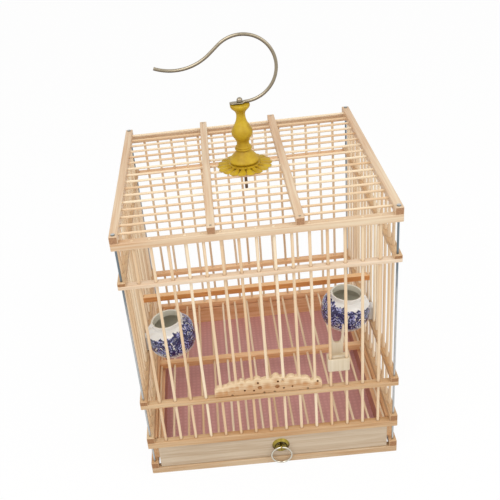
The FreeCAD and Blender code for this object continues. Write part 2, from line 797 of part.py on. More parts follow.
def knob():
    """Roof flower, turned knob, and the stud that clamps them to the roof rods."""
    flower = [
        ("stud_hole", "0"),
        ("flower_dia / 2", "0"),
        ("flower_dia / 2", "flower_rim"),
        ("knob_lip_dia / 2", "flower_thick"),
        ("stud_hole", "flower_thick"),
    ]
    disc = turned(flower, ("0", "0", "flower_level"))
    count = int(value("petal_count"))
    notches = []
    for index in range(count):
        turn = f"360 / petal_count * {index}"
        x, y = f"flower_dia / 2 * cos({turn})", f"flower_dia / 2 * sin({turn})"
        spot = (x, y, "flower_level - flower_thick")
        notches.append(rod("Z", spot, "3 * flower_thick", "petal_notch_dia"))
    keep(cut(disc, notches), "knob_flower")
    lip, bell, collar = "knob_lip_dia / 2", "knob_bell_dia / 2", "knob_collar_dia / 2"
    waist, bulb, neck = "knob_waist_dia / 2", "knob_bulb_dia / 2", "knob_neck_dia / 2"
    cup = "knob_cup_dia / 2"
    bell_foot = (f"{lip} - knob_lip_round", "bell_level")
    bell_top = (bell, "collar_level")
    bulb_widest = (bulb, "bulb_level + knob_bulb_widest")
    waist_top = (waist, "bulb_level")
    neck_foot = (neck, "neck_level")
    cup_foot = (neck, "knob_cup_level")
    cup_rim = (cup, "knob_top - knob_cup_rim")
    profile = [
        ("stud_hole", "knob_level"),
        (lip, "knob_level"),
        (lip, "bell_level - knob_lip_round / 2"),
        bell_foot,
        (*bell_top, level_arc(bell_foot, bell_top), -1),
        (collar, "collar_level + knob_collar_edge"),
        (collar, "waist_level - knob_collar_edge"),
        (waist, "waist_level"),
        waist_top,
        (*bulb_widest, level_arc(waist_top, bulb_widest), 1),
        (*neck_foot, level_arc(neck_foot, bulb_widest), 1),
        cup_foot,
        (*cup_rim, level_arc(cup_rim, cup_foot), -1),
        (cup, "knob_top"),
        ("stud_hole", "knob_top"),
    ]
    keep(turned(profile), "knob_finial")
    top = "cap_nut_level + cap_nut_tall"
    stud_length = "cap_nut_level + cap_nut_bore - stud_bottom"
    keep(rod("Z", ("0", "0", "stud_bottom"), stud_length, "stud_dia"), "knob_stud")
    nut = "cap_nut_dia / 2"
    skirt = (nut, "cap_nut_level + cap_nut_skirt")
    dome = "(cap_nut_tall - cap_nut_skirt)"
    cap = [
        ("0", "cap_nut_level + cap_nut_bore + stud_fit"),
        ("stud_hole", "cap_nut_level + cap_nut_bore + stud_fit"),
        ("stud_hole", "cap_nut_level"),
        (nut, "cap_nut_level"),
        skirt,
        ("0", top, f"(({nut})^2 + {dome}^2) / (2 * {dome})", 1),
    ]
    keep(turned(cap), "knob_cap_nut")
    low = ("-clamp_length / 2", "-clamp_wide / 2", "clamp_level")
    high = ("clamp_length / 2", "clamp_wide / 2", "clamp_level + clamp_thick")
    bore = rod("Z", ("0", "0", "stud_bottom"), "roof_top - stud_bottom", "2 * stud_hole")
    keep(cut(stick(low, high), [bore]), "knob_clamp_plate")
    prism = doc.addObject("Part::Prism", "nut")
    prism.Polygon = 6
    bind(prism, "Circumradius", "hex_nut_span / 2")
    bind(prism, "Height", "hex_nut_thick")
    place(prism, ("0", "0", "hex_nut_level"))
    keep(cut(prism, [bore]), "knob_hex_nut")


def hook():
    """Swivel hook: a flattened eye under the cap nut, then a bent wire with a recurved tail."""
    body = doc.addObject("PartDesign::Body", "wire")
    path = sketch_on(body, "XZ_Plane")
    crown = "wire_level + hook_radius"
    turn, tail = "hook_crown_turn", "hook_tail_turn"
    over = (f"hook_bend_x - hook_radius * sin({turn})", f"{crown} + hook_radius * cos({turn})")
    low = (f"{over[0]} - hook_neck * cos({turn})", f"{over[1]} - hook_neck * sin({turn})")
    reach = f"hook_tail_radius * (sin({turn}) + sin({tail}))"
    rise = f"hook_tail_radius * (cos({turn}) - cos({tail}))"
    tip = (f"{low[0]} - {reach}", f"{low[1]} + {rise}")
    points = [
        ("hook_wire_start", "wire_level"),
        ("hook_bend_x", "wire_level"),
        (*over, "hook_radius", 1),
        low,
        (*tip, "hook_tail_radius", -1),
    ]
    trace(path, points, closed=False, long_arc=(2,))
    section = sketch_on(body, "YZ_Plane")
    bind(section, "AttachmentOffset.Base.z", "hook_wire_start")
    centre = Vector(0, value("wire_level"), 0)
    section.addGeometry(Part.Circle(centre, Vector(0, 0, 1), value("hook_wire / 2")))
    for kind, text in (("DistanceX", "0"), ("DistanceY", "wire_level")):
        added = section.addConstraint(Sketcher.Constraint(kind, -1, 1, 0, 3, value(text)))
        bind(section, f"Constraints[{added}]", text)
    added = section.addConstraint(Sketcher.Constraint("Diameter", 0, value("hook_wire")))
    bind(section, f"Constraints[{added}]", "hook_wire")
    doc.recompute()
    pipe = body.newObject("PartDesign::AdditivePipe", "pipe")
    pipe.Profile = section
    pipe.Spine = path
    half = "hook_eye_wide / 2"
    top = "eye_level + hook_eye_thick"
    plate = block(("-hook_eye_back", f"-{half}", "eye_level"), ("hook_bend_x", half, top))
    end = rod("Z", ("-hook_eye_back", "0", "eye_level"), "hook_eye_thick", "hook_eye_wide")
    bore = rod("Z", ("0", "0", "knob_level"), "roof_top", "2 * stud_hole")
    keep(cut(fuse([body, plate, end]), [bore]), "hook")


wall_rails()
side_rails()
roof()
bars()
floor_grate()
skirts()
perch()
corner_pins()
drawer()
drawer_pull()
door_carving()
fruit_fork()
cups()
knob()
hook()
doc.recompute()

failed = [obj.Name for obj in doc.Objects if {"Invalid", "Error"} & set(obj.State)]
if failed:
    raise RuntimeError(f"objects that did not rebuild: {failed}")
for part in PARTS:
    if part.Shape.isNull() or not part.Shape.isValid() or not part.Shape.Solids:
        raise RuntimeError(f"bad shape: {part.Label}")
os.makedirs("parts", exist_ok=True)
for part in PARTS:
    part.Shape.exportStep(f"parts/{part.Label}.step")
print(len(PARTS), "parts")
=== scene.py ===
import math
import random
from functools import partial

import bmesh
import bpy
from bmesh.types import BMFace, BMVert
from bpy.props import FloatProperty, FloatVectorProperty, IntProperty, PointerProperty
from bpy.types import Node, NodeSocket, Operator, Panel, PropertyGroup
from mathutils import Matrix, Vector


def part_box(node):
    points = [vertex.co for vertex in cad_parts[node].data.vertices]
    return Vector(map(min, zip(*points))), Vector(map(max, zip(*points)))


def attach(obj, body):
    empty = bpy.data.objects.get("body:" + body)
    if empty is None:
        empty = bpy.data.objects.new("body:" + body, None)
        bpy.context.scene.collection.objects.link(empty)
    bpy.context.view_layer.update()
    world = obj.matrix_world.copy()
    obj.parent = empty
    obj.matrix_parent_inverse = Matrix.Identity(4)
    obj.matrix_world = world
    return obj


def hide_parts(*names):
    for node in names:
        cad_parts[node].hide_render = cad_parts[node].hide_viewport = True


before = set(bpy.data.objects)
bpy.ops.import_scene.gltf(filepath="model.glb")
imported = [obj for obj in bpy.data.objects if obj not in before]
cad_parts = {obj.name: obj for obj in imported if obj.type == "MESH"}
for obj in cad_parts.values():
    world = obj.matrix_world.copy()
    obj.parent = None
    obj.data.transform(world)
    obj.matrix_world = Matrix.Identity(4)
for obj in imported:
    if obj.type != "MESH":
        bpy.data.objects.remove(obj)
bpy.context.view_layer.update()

bl_info = {
    "name": "Bamboo bird cage",
    "version": (1, 0, 0),
    "blender": (4, 5, 0),
    "location": "3D View > Sidebar > Cage",
    "description": "Dresses a square bamboo bird cage with its bars, carving, cups, knob and hook",
    "category": "Object",
}

MM = 0.001
UP = Vector((0, 0, 1))
AXES = "XYZ"
SIDES = {"left": -1, "right": 1}
ENDS = ("front", "back")
LEVELS = ("base", "bottom", "lower", "upper", "top")


def linear(code):
    """A shader colour from an sRGB hex code."""
    shares = [int(code[at:at + 2], 16) / 255 for at in (1, 3, 5)]
    return (*(share / 12.92 if share <= 0.04045 else ((share + 0.055) / 1.055) ** 2.4 for share in shares), 1)


def tint(name, description, code):
    return FloatVectorProperty(
        name=name, description=description, subtype="COLOR", size=4, min=0, max=1, default=linear(code))


def length(name, description, millimetres):
    return FloatProperty(name=name, description=description, unit="LENGTH", min=0, default=millimetres * MM)


# Colours of finishes in two tones: what they are on, and the sRGB codes of both
TONES = ("pale", "deep")
TWO_TONES = {
    "bamboo": ("the top rails and beams", "#E0CBAD", "#C79D74"),
    "upper": ("the front upper rail", "#EADAC4", "#D3B391"),
    "low": ("the lower frames", "#D2B48D", "#B68757"),
    # The base tones are a darker, greyer copy of the bamboo: painted shade on the base rails
    "base": ("the base rails", "#D3C0A2", "#B78F64"),
    "rod": ("the round rods", "#F0DEC0", "#D8B48A"),
    "board": ("the drawer's front", "#C9B79F", "#B39B7F"),
    "side": ("the drawer's stained walls", "#C79383", "#A8705F"),
    # On the back rails and the grate bar the back tones are a paler, more orange copy of the bamboo: painted
    # light on their shaded faces; on the drawer's back and the skirts they are the boards' own colour
    "back": ("the drawer's back and the back rails", "#F2C99C", "#DBA671"),
    "tray": ("the tray floor", "#D9A6A3", "#BD8682"),
    "perch": ("the perch", "#D7914F", "#B66F34"),
    "carving": ("the door's cresting", "#E2C9A4", "#B98450"),
    "fork": ("the fruit fork", "#DACCB5", "#C8B595"),
}


class CageColours(PropertyGroup):
    """Colours of the cage's finishes."""

    __annotations__ = {
        f"{name}_{tone}": tint(f"{tone} {name}".capitalize(), f"The {tone} tone of {place}", code)
        for name, (place, *codes) in TWO_TONES.items()
        for tone, code in zip(TONES, codes)
    }
    bamboo_end: tint("Bamboo end grain", "Sawn ends of the rails and beams", "#7C4A28")
    # Painted light: the perch's upward faces are painted paler as if lit from above
    perch_lit_top: tint("Perch top", "Worn top of the perch", "#EABC88")
    lacquer: tint("Yellow lacquer", "Coat of the knob and its flower", "#C4A31E")
    lacquer_worn: tint("Worn lacquer", "Thin or handled places of the lacquer", "#AB8616")
    # Painted shade: a greyer, olive copy of the porcelain for the cups' insides
    inside_shade: tint("Biscuit", "Dull inside of the cups", "#D8D4C4")
    porcelain: tint("Porcelain", "White body under the glaze", "#E7E4DE")
    cobalt: tint("Cobalt", "Full strokes of the blue painting", "#1A174F")
    cobalt_wash: tint("Cobalt wash", "Thin strokes of the blue painting", "#8F90C6")
    steel: tint("Steel", "Wire of the hook, the brads and the cap nut", "#9C917D")
    nickel: tint("Nickel", "Polished plate on the pull's ring", "#CFC8BA")
    brass: tint("Brass", "Polished rosette and staple", "#A08C40")
    # Steel underside: painted shade and dark reflection on the downward faces of the hook, the brads, the cap
    # nut and the stud
    steel_shade: tint("Steel underside", "Oxide on the lower side of the hook", "#4A4338")
    pin: tint("Pin steel", "Bright part of the corner pins", "#C0C2C1")
    # Dull pin colour: on the pins above the front upper rail's top, and as painted shade and dark reflection
    # on their downward faces
    pin_dull: tint("Dull pin steel", "Handled upper part of the corner pins", "#76828A")
    stud: tint("Stud steel", "Browned steel of the knob's stud", "#6E5848")
    # Patina colour: dark streaks on the brass, and painted shade and dark reflection on its faces that look
    # down
    patina_and_shade: tint("Patina", "Dark oxide in the hollows of the brass", "#382A10")
    # Painted shade: dark colours on the walls of the carving's holes and shallow hollows
    hollow_shade: tint("Scorched hollow", "Shallow hollows of the carving", "#8A5A33")
    hole_shade: tint("Burnt hole", "Walls of the holes in the carving", "#5B3A1A")


def both_tones(colours, name):
    """Both tones of a finish."""
    return [getattr(colours, f"{name}_{tone}") for tone in TONES]


class CageSizes(PropertyGroup):
    """Sizes of the modelled pieces."""

    bar_bow: length("Bar bow", "Most that a wall bar bows between two rails", 0.7)
    rod_bow: length("Rod bow", "Most that a roof or floor rod bows between two beams", 0.35)
    carving_relief: length("Carving relief", "Depth of the carving on the door's cresting", 1.5)
    petals: IntProperty(name="Petals", description="Petals of the roof flower", min=5, default=18)


# Shared tools for nodes and meshes

# Places of the colour sockets on a Mix node
MIX_A, MIX_B = 6, 7
# Vertices nearer than this, in metres, are welded
WELD = 1e-7
# Edges that turn by more than this are rounded
SHARP_EDGE = math.radians(60)
TURNED_STEPS = 72


def plug(node, links):
    """Feeds a node's inputs, each from a node's first output in use, a socket or a plain value."""
    for name, source in links.items():
        if isinstance(source, Node):
            source = next(socket for socket in source.outputs if socket.enabled)
        if isinstance(source, NodeSocket):
            node.id_data.links.new(source, node.inputs[name])
        else:
            node.inputs[name].default_value = source


def add_node(tree, kind, *sources, **settings):
    """Adds a shader node, such as Mix or Math.ADD, fed in the order of its inputs or by a dict of names."""
    kind, _, operation = kind.partition(".")
    node = tree.nodes.new(f"ShaderNode{kind}")
    if operation:
        node.operation = operation
    for name, setting in settings.items():
        setattr(node, name, setting)
    by_name = sources and isinstance(sources[0], dict)
    plug(node, sources[0] if by_name else dict(enumerate(sources)))
    return node


def fresh(name):
    """A new material, what adds nodes to it, and its shader."""
    material = bpy.data.materials.new(name)
    material.use_nodes = True
    tree = material.node_tree
    return material, partial(add_node, tree), tree.nodes["Principled BSDF"]


def grain(add, coords, axis, along, across, **noise):
    """Noise drawn out along one axis, from its two sizes in millimetres."""
    scale = [1 / ((along if letter == axis else across) * MM) for letter in AXES]
    drawn = add("Mapping", {"Vector": coords.outputs["Object"], "Scale": scale})
    return add("TexNoise", {"Vector": drawn, "Scale": 1.0, **noise})


def two_tone(add, value, low, high, deep, pale):
    """A colour that goes from deep to pale as a value rises from low to high."""
    share = add("MapRange", value, low, high)
    return add("Mix", {0: share, MIX_A: deep, MIX_B: pale}, data_type="RGBA")


def nearest(add, along, across, spacing, line):
    """Way to the nearest of places that repeat along a line: along it, across it and in all."""
    by = add("Math.PINGPONG", along, spacing / 2)
    off = add("Math.SUBTRACT", across, line)
    flat = add("CombineXYZ", by, off)
    return by, off, add("VectorMath.LENGTH", flat)


def dress(material, *nodes):
    """Gives CAD nodes a material."""
    for name in nodes:
        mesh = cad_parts[name].data
        mesh.materials.clear()
        mesh.materials.append(material)


def solid(name, bm):
    """Makes an object of a bmesh and links it to the scene."""
    mesh = bpy.data.meshes.new(name)
    bm.to_mesh(mesh)
    bm.free()
    obj = bpy.data.objects.new(name, mesh)
    bpy.context.collection.objects.link(obj)
    return obj


def piece(name, bm, body, nodes, material, sharp=35):
    """Makes an object of a bmesh, which rides on a body and stands for CAD nodes."""
    obj = solid(name, bm)
    obj.data.shade_smooth()
    obj.data.set_sharp_from_angle(angle=math.radians(sharp))
    obj.data.materials.append(material)
    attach(obj, body)
    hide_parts(*nodes)
    return obj


def only(kind, geom):
    """The items of one kind, such as vertices, among what an operator made."""
    return [item for item in geom if isinstance(item, kind)]


def flowing(points, steps=6):
    """Points on a smooth curve through the given ones; a doubled point keeps its corner."""
    ends = [points[0], *points, points[-1]]
    path = []
    for before, start, end, after in zip(ends, ends[1:], ends[2:], ends[3:]):
        if start == end:
            continue
        for step in range(steps):
            share = step / steps
            path.append(tuple(
                0.5 * (2 * b + (c - a) * share + (2 * a - 5 * b + 4 * c - d) * share**2
                       + (3 * b - a - 3 * c + d) * share**3)
                for a, b, c, d in zip(before, start, end, after)))
    path.append(points[-1])
    return path


def lathe(outline):
    """A solid turned about Z from an outline of (radius, height) in millimetres."""
    bm = bmesh.new()
    verts = [bm.verts.new((radius * MM, 0, height * MM)) for radius, height in outline]
    edges = [bm.edges.new(pair) for pair in zip(verts, verts[1:])]
    bmesh.ops.spin(bm, geom=verts + edges, axis=UP, cent=(0, 0, 0), angle=math.tau, steps=TURNED_STEPS,
                   use_merge=True)
    bmesh.ops.remove_doubles(bm, verts=bm.verts, dist=WELD)
    bmesh.ops.recalc_face_normals(bm, faces=bm.faces)
    return bm


def run(bm, geom, vec):
    """Carries an end face on along a straight way."""
    grown = bmesh.ops.extrude_face_region(bm, geom=only(BMFace, geom))["geom"]
    bmesh.ops.translate(bm, verts=only(BMVert, grown), vec=vec)
    return grown


def soften(bm, geom, radius, segments, affect="EDGES", clamp=False):
    """Rounds edges or corners by a radius in millimetres."""
    bmesh.ops.bevel(bm, geom=geom, offset=radius * MM, segments=segments, profile=0.5, affect=affect,
                    material=-1, clamp_overlap=clamp)


def join(bm, other):
    """Adds the geometry of another bmesh to the first."""
    mesh = bpy.data.meshes.new("part")
    other.to_mesh(mesh)
    other.free()
    bm.from_mesh(mesh)
    bpy.data.meshes.remove(mesh)


def drills(places, radius, depth, segments):
    """An object of round pins to drill with, from their radius and length in millimetres."""
    bm = bmesh.new()
    for place in places:
        bmesh.ops.create_cone(bm, cap_ends=True, segments=segments, radius1=radius * MM, radius2=radius * MM,
                              depth=depth * MM, matrix=place)
    return solid("drills", bm)


def drill(obj, tool, material):
    """Cuts a tool out of a piece and gives the walls of the holes a material."""
    tool.data.materials.append(material)
    cut = obj.modifiers.new("drill", "BOOLEAN")
    cut.object = tool
    cut.solver = "EXACT"
    cut.material_mode = "TRANSFER"
    done = bpy.data.meshes.new_from_object(obj.evaluated_get(bpy.context.evaluated_depsgraph_get()))
    obj.modifiers.clear()
    obj.data = done
    bpy.data.objects.remove(tool)


def middle(node):
    """The centre of a CAD node's box."""
    low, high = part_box(node)
    return (low + high) / 2


# Finishes: gloss of varnished or planed wood, and how far the painted shade round a bar's hole takes the end
# grain's colour
WOOD_IOR = 1.5
FOOT_SHADE_SHARE = 0.55


def bar_foot_shade(add, coords):
    """A mask of painted shade round the drilled holes on a rail along X: half beside a wall bar, 0 on the
    rest.
    """
    parts = add("SeparateXYZ", coords.outputs["Object"])
    low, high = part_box("back_bars")
    gauge = high.y - low.y
    pitch = (high.x - low.x - gauge) / (WALL_BARS - 1)
    line = (high.y + low.y) / 2
    away = add("Math.ABSOLUTE", parts.outputs["Y"])
    reach = nearest(add, parts.outputs["X"], away, pitch, line)[2]
    return add("MapRange", reach, gauge * 0.5, gauge * 0.85, FOOT_SHADE_SHARE, 0.0)


def planed_bamboo(name, axis, pale, deep, end, rims=False):
    """Planed moso bamboo under a satin varnish: straight fibres, a slow drift of tone, dark sawn ends."""
    material, add, shader = fresh(name)
    coords = add("TexCoord")
    # Real fibres are 0.3 mm wide; they are drawn 1.6 mm wide so that they show
    fibre = grain(add, coords, axis, 60, 1.6, Detail=4.0)
    drift = grain(add, coords, axis, 160, 14, Detail=1.0)
    blend = add("Math.ADD", fibre, drift)
    colour = two_tone(add, blend, 0.72, 1.28, deep, pale)
    facing = add("SeparateXYZ", coords.outputs["Normal"])
    turned = add("Math.ABSOLUTE", facing.outputs[AXES.index(axis)])
    sawn = add("Math.GREATER_THAN", turned, 0.85)
    pores = grain(add, coords, axis, 9, 1.1, Detail=2.0)
    cut = add("Mix", {0: pores, MIX_A: end, MIX_B: deep}, data_type="RGBA")
    colour = add("Mix", {0: sawn, MIX_A: colour, MIX_B: cut}, data_type="RGBA")
    # Painted shade: on rails that hold bars, a ring in the end grain's colour round each bar's hole
    if rims:
        rim = bar_foot_shade(add, coords)
        colour = add("Mix", {0: rim, MIX_A: colour, MIX_B: end}, data_type="RGBA")
    gloss = add("MapRange", fibre, 0.0, 1.0, 0.38, 0.58)
    bump = add("Bump", {"Height": fibre, "Strength": 0.25, "Distance": 0.15 * MM})
    plug(shader, {"Base Color": colour, "Roughness": gloss, "Normal": bump, "IOR": WOOD_IOR})
    return material


def bamboo_rod(name, axis, pale, deep):
    """Split bamboo drawn round: each rod has a tone of its own, with long fibres and a soft sheen."""
    material, add, shader = fresh(name)
    coords = add("TexCoord")
    tone = add("Attribute", attribute_name="tone")
    # Real fibres are 0.3 mm wide; they are drawn 0.9 mm wide so that they show
    fibre = grain(add, coords, axis, 70, 0.9, Detail=3.0)
    spread = add("MapRange", fibre, 0.3, 0.7, -0.3, 0.3)
    share = add("Math.ADD", tone.outputs["Fac"], spread, use_clamp=True)
    colour = add("Mix", {0: share, MIX_A: deep, MIX_B: pale}, data_type="RGBA")
    gloss = add("MapRange", fibre, 0.0, 1.0, 0.35, 0.55)
    bump = add("Bump", {"Height": fibre, "Strength": 0.2, "Distance": 0.1 * MM})
    plug(shader, {"Base Color": colour, "Roughness": gloss, "Normal": bump, "IOR": WOOD_IOR})
    return material


def sawn_board(name, axis, pale, deep, rough=0.62, top_colour=None):
    """Softwood board, planed: wide flowing grain with a few dark streaks; faces that look up can take another
    colour, the bare top of a stained board or painted light on a perch's top.
    """
    material, add, shader = fresh(name)
    coords = add("TexCoord")
    bands = grain(add, coords, axis, 110, 5, Detail=5.0, Roughness=0.6, Distortion=0.6)
    lines = grain(add, coords, axis, 45, 1.7, Detail=3.0)
    blend = add("Math.ADD", bands, lines)
    colour = two_tone(add, blend, 0.7, 1.2, deep, pale)
    # Faces that look up take the top colour: on the perch it is painted light, on the stained drawer walls
    # their paler top edge
    if top_colour:
        facing = add("SeparateXYZ", coords.outputs["Normal"])
        upward = add("Math.GREATER_THAN", facing.outputs["Z"], 0.5)
        colour = add("Mix", {0: upward, MIX_A: colour, MIX_B: top_colour}, data_type="RGBA")
    bump = add("Bump", {"Height": lines, "Strength": 0.3, "Distance": 0.15 * MM})
    plug(shader, {"Base Color": colour, "Normal": bump, "Roughness": rough, "IOR": WOOD_IOR})
    return material


def woven_tray(name, pale, deep):
    """Fibreboard with a pressed cloth texture, stained mauve: fine crossing threads, slight stains."""
    material, add, shader = fresh(name)
    coords = add("TexCoord")
    # Real threads are 0.6 mm apart; they are drawn 2.6 mm apart so that they show
    weave = {"Vector": coords.outputs["Object"], "Scale": 1 / (2.6 * MM) / math.tau, "Distortion": 1.5,
             "Detail": 1.0}
    warp = add("TexWave", weave, bands_direction="X")
    weft = add("TexWave", weave, bands_direction="Y")
    cross = add("Math.MULTIPLY", warp.outputs["Fac"], weft.outputs["Fac"])
    stain = add("TexNoise", {"Vector": coords.outputs["Object"], "Scale": 1 / (40 * MM), "Detail": 3.0})
    blend = add("Math.ADD", cross, stain)
    colour = two_tone(add, blend, -0.5, 1.7, deep, pale)
    bump = add("Bump", {"Height": cross, "Strength": 0.3, "Distance": 0.2 * MM})
    plug(shader, {"Base Color": colour, "Normal": bump, "Roughness": 0.6})
    return material


def yellow_lacquer(name, coat, worn):
    """Turned wood under opaque satin lacquer: even colour, a little thinner on handled places."""
    material, add, shader = fresh(name)
    place = add("TexCoord").outputs["Object"]
    patches = add("TexNoise", {"Vector": place, "Scale": 1 / (9 * MM), "Detail": 3.0})
    colour = two_tone(add, patches, 0.35, 0.65, worn, coat)
    orange_peel = add("TexNoise", {"Vector": place, "Scale": 1 / (1.2 * MM)})
    bump = add("Bump", {"Height": orange_peel, "Strength": 0.1, "Distance": 0.1 * MM})
    plug(shader, {"Base Color": colour, "Normal": bump, "Roughness": 0.5, "IOR": 1.4})
    return material


def drawn_metal(name, bright, dull, rough, spared=0.5, handled=0.0):
    """Drawn or polished metal: fine lines along Z; the dull colour in streaks, as painted shade and dark
    reflection on faces that look down, and above a given level.
    """
    material, add, shader = fresh(name)
    coords = add("TexCoord")
    lines = grain(add, coords, "Z", 6, 0.8, Detail=3.0)
    gloss = add("MapRange", lines, 0.0, 1.0, rough * 0.6, rough * 1.4)
    bump = add("Bump", {"Height": lines, "Strength": 0.12, "Distance": 0.05 * MM})
    # Faces that look down take the dull colour: painted shade and dark reflection, on top of the streaks
    facing = add("SeparateXYZ", coords.outputs["Normal"])
    streaks_and_shade = add("Math.SUBTRACT", lines, facing.outputs["Z"])
    # Above the given height the metal turns to the dull colour
    if handled:
        height = add("SeparateXYZ", coords.outputs["Object"])
        worn = add("MapRange", height.outputs["Z"], handled * 0.8, handled)
        streaks_and_shade = add("Math.ADD", streaks_and_shade, worn)
    colour = two_tone(add, streaks_and_shade, spared, spared + 0.8, bright, dull)
    plug(shader, {"Base Color": colour, "Roughness": gloss, "Normal": bump, "Metallic": 1.0})
    return material


def painted_porcelain(name, body, full, wash, inner):
    """Glazed porcelain with a floral scroll in cobalt under the glaze: blots, curls and paler washes."""
    material, add, shader = fresh(name)
    place = add("UVMap", uv_map="glaze")
    size = add("VectorMath.MULTIPLY", place, (CUP_GIRTH, CUP_TALL, 0))
    around, height = add("SeparateXYZ", size).outputs[:2]
    # Leaves: curled strokes about 2 mm wide
    curls = add("TexNoise", {"Vector": size, "Scale": 1 / LEAF_SIZE, "Detail": 1.0, "Distortion": 1.6})
    leaf = add("MapRange", curls, 0.41, 0.45)
    # Flowers: scalloped rings of petals round centres that repeat along the belly
    by, off, reach = nearest(add, around, height, CUP_GIRTH / FLOWER_COUNT, FLOWER_LEVEL)
    turn = add("Math.ARCTAN2", off, by)
    lobes = add("Math.MULTIPLY", turn, FLOWER_SCALLOPS)
    scallop = add("Math.COSINE", lobes)
    edge = add("Math.MULTIPLY_ADD", scallop, SCALLOP_DEPTH, reach)
    inside = add("Math.LESS_THAN", edge, FLOWER_REACH)
    rings = add("Math.MULTIPLY", edge, math.tau / PETAL_RING)
    swing = add("Math.SINE", rings)
    petals = add("MapRange", swing, -0.45, -0.15)
    ink = add("Mix", {0: inside, 2: leaf, 3: petals})
    # The painted band, between a line at the foot and a waved edge on the shoulder
    ripple = add("TexNoise", {"Vector": size, "Scale": 1 / BAND_RIPPLE})
    angle = add("Math.MULTIPLY", around, math.tau / CUP_GIRTH)
    inward = add("Math.COSINE", angle)
    rise = add("Math.MULTIPLY_ADD", inward, BAND_RISE, BAND_TOP - BAND_WAVE / 2)
    brim = add("Math.MULTIPLY_ADD", ripple, BAND_WAVE, rise)
    over = add("Math.LESS_THAN", height, brim)
    above = add("Math.GREATER_THAN", height, BAND_FOOT)
    band = add("Math.MULTIPLY", over, above)
    scroll = add("Math.MULTIPLY", ink, band)
    line = add("Math.COMPARE", height, BAND_FOOT - LINE_GAP, LINE_HALF)
    painted = add("Math.MAXIMUM", scroll, line)
    # A pale wash lies under the strokes, in patches
    patches = add("TexNoise", {"Vector": size, "Scale": 1 / WASH_SIZE, "Detail": 1.0})
    patch = add("MapRange", patches, 0.4, 0.5)
    washed = add("Math.MULTIPLY", patch, band)
    ground = add("Mix", {0: washed, MIX_A: body, MIX_B: wash}, data_type="RGBA")
    outside = add("Mix", {0: painted, MIX_A: ground, MIX_B: full}, data_type="RGBA")
    # Faces inside the cup take the inside colour as painted shade
    dull = add("Math.LESS_THAN", height, (INSIDE_V + BLANK_V) / 2 * CUP_TALL)
    colour = add("Mix", {0: dull, MIX_A: outside, MIX_B: inner}, data_type="RGBA")
    plug(shader, {"Base Color": colour, "Roughness": 0.16, "IOR": 1.52, "Coat Weight": 0.4})
    return material


# Rods and bars: how many stand in a row, sides and cuts of one, and how far their tones differ
DOOR_SIDE_BARS, DOOR_BARS, WALL_BARS = 4, 7, 15
ROOF_RODS = FLOOR_RODS = 16
ROD_SIDES, ROD_CUTS = 10, 14
ROD_TONES = (0.1, 1.0)


def rod_row(name, node, count, axis, ties, bow, material, body="cage"):
    """A row of round rods along one axis, each bowed a little between the places that hold it."""
    low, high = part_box(node)
    run_at = AXES.index(axis)
    others = [at for at in range(3) if at != run_at]
    extent = high - low
    row_at = max(others, key=lambda at: extent[at])
    radius = min(extent) / 2
    chance = random.Random(node)
    bm = bmesh.new()
    tone = bm.verts.layers.float.new("tone")
    turn = Matrix() if axis == "Z" else Matrix.Rotation(math.radians(90), 4, {"X": "Y", "Y": "X"}[axis])
    holds = sorted({low[run_at], *ties, high[run_at]})
    for index in range(count):
        centre = (low + high) / 2
        centre[row_at] = low[row_at] + radius + index * (extent[row_at] - 2 * radius) / (count - 1)
        already = len(bm.verts)
        made = bmesh.ops.create_cone(bm, cap_ends=True, segments=ROD_SIDES, radius1=radius, radius2=radius,
                                     depth=extent[run_at], matrix=Matrix.Translation(centre) @ turn)
        sides = {edge for vert in made["verts"] for edge in vert.link_edges
                 if edge.calc_length() > extent[run_at] / 2}
        bmesh.ops.subdivide_edges(bm, edges=list(sides), cuts=ROD_CUTS, use_grid_fill=True)
        bm.verts.ensure_lookup_table()
        shade = chance.uniform(*ROD_TONES)
        heading = chance.uniform(0, math.tau)
        lean = [chance.uniform(-bow, bow) for hold in holds]
        for vert in bm.verts[already:]:
            vert[tone] = shade
            for start, end, amount in zip(holds, holds[1:], lean):
                if start <= vert.co[run_at] <= end:
                    push = amount * math.sin(math.pi * (vert.co[run_at] - start) / (end - start))
                    vert.co[others[0]] += push * math.cos(heading)
                    vert.co[others[1]] += push * math.sin(heading)
                    break
    return piece(name, bm, body, [node], material)


class CAGE_OT_bars(Operator):
    """Makes the bars of the walls and the rods of the roof and the floor"""

    bl_idname = "cage.bars"
    bl_label = "Bars and rods"

    def execute(self, context):
        colours, sizes = context.scene.cage_colours, context.scene.cage_sizes
        finish = {axis: bamboo_rod(f"bamboo_rod_{axis.lower()}", axis, *both_tones(colours, "rod"))
                  for axis in AXES}
        front_ties = [middle(f"front_{level}_rail").z for level in LEVELS[1:]]
        side_ties = [middle(f"left_{level}_rail").z for level in LEVELS[1:4]]
        walls = {
            "front_left_bars": (DOOR_SIDE_BARS, front_ties, sizes.bar_bow),
            "front_right_bars": (DOOR_SIDE_BARS, front_ties, 0),
            "front_short_bars": (DOOR_BARS, front_ties, 0),
            "back_bars": (WALL_BARS, front_ties, sizes.bar_bow),
            "left_bars": (WALL_BARS, side_ties, sizes.bar_bow),
            "right_bars": (WALL_BARS, side_ties, sizes.bar_bow),
        }
        for node, (count, ties, bow) in walls.items():
            rod_row(f"{node}_drawn", node, count, "Z", ties, bow, finish["Z"])
        rod_row("door_bars_drawn", "door_bars", DOOR_BARS, "Z", [], 0, finish["Z"], body="door")
        beams = [middle(f"roof_mid_beam_{side}").x for side in SIDES]
        rod_row("roof_rods_drawn", "roof_rods", ROOF_RODS, "X", beams, sizes.rod_bow, finish["X"])
        bar = [middle("floor_grate_bar").y]
        rod_row("floor_rods_drawn", "floor_grate_rods", FLOOR_RODS, "Y", bar, sizes.rod_bow, finish["Y"])
        return {"FINISHED"}


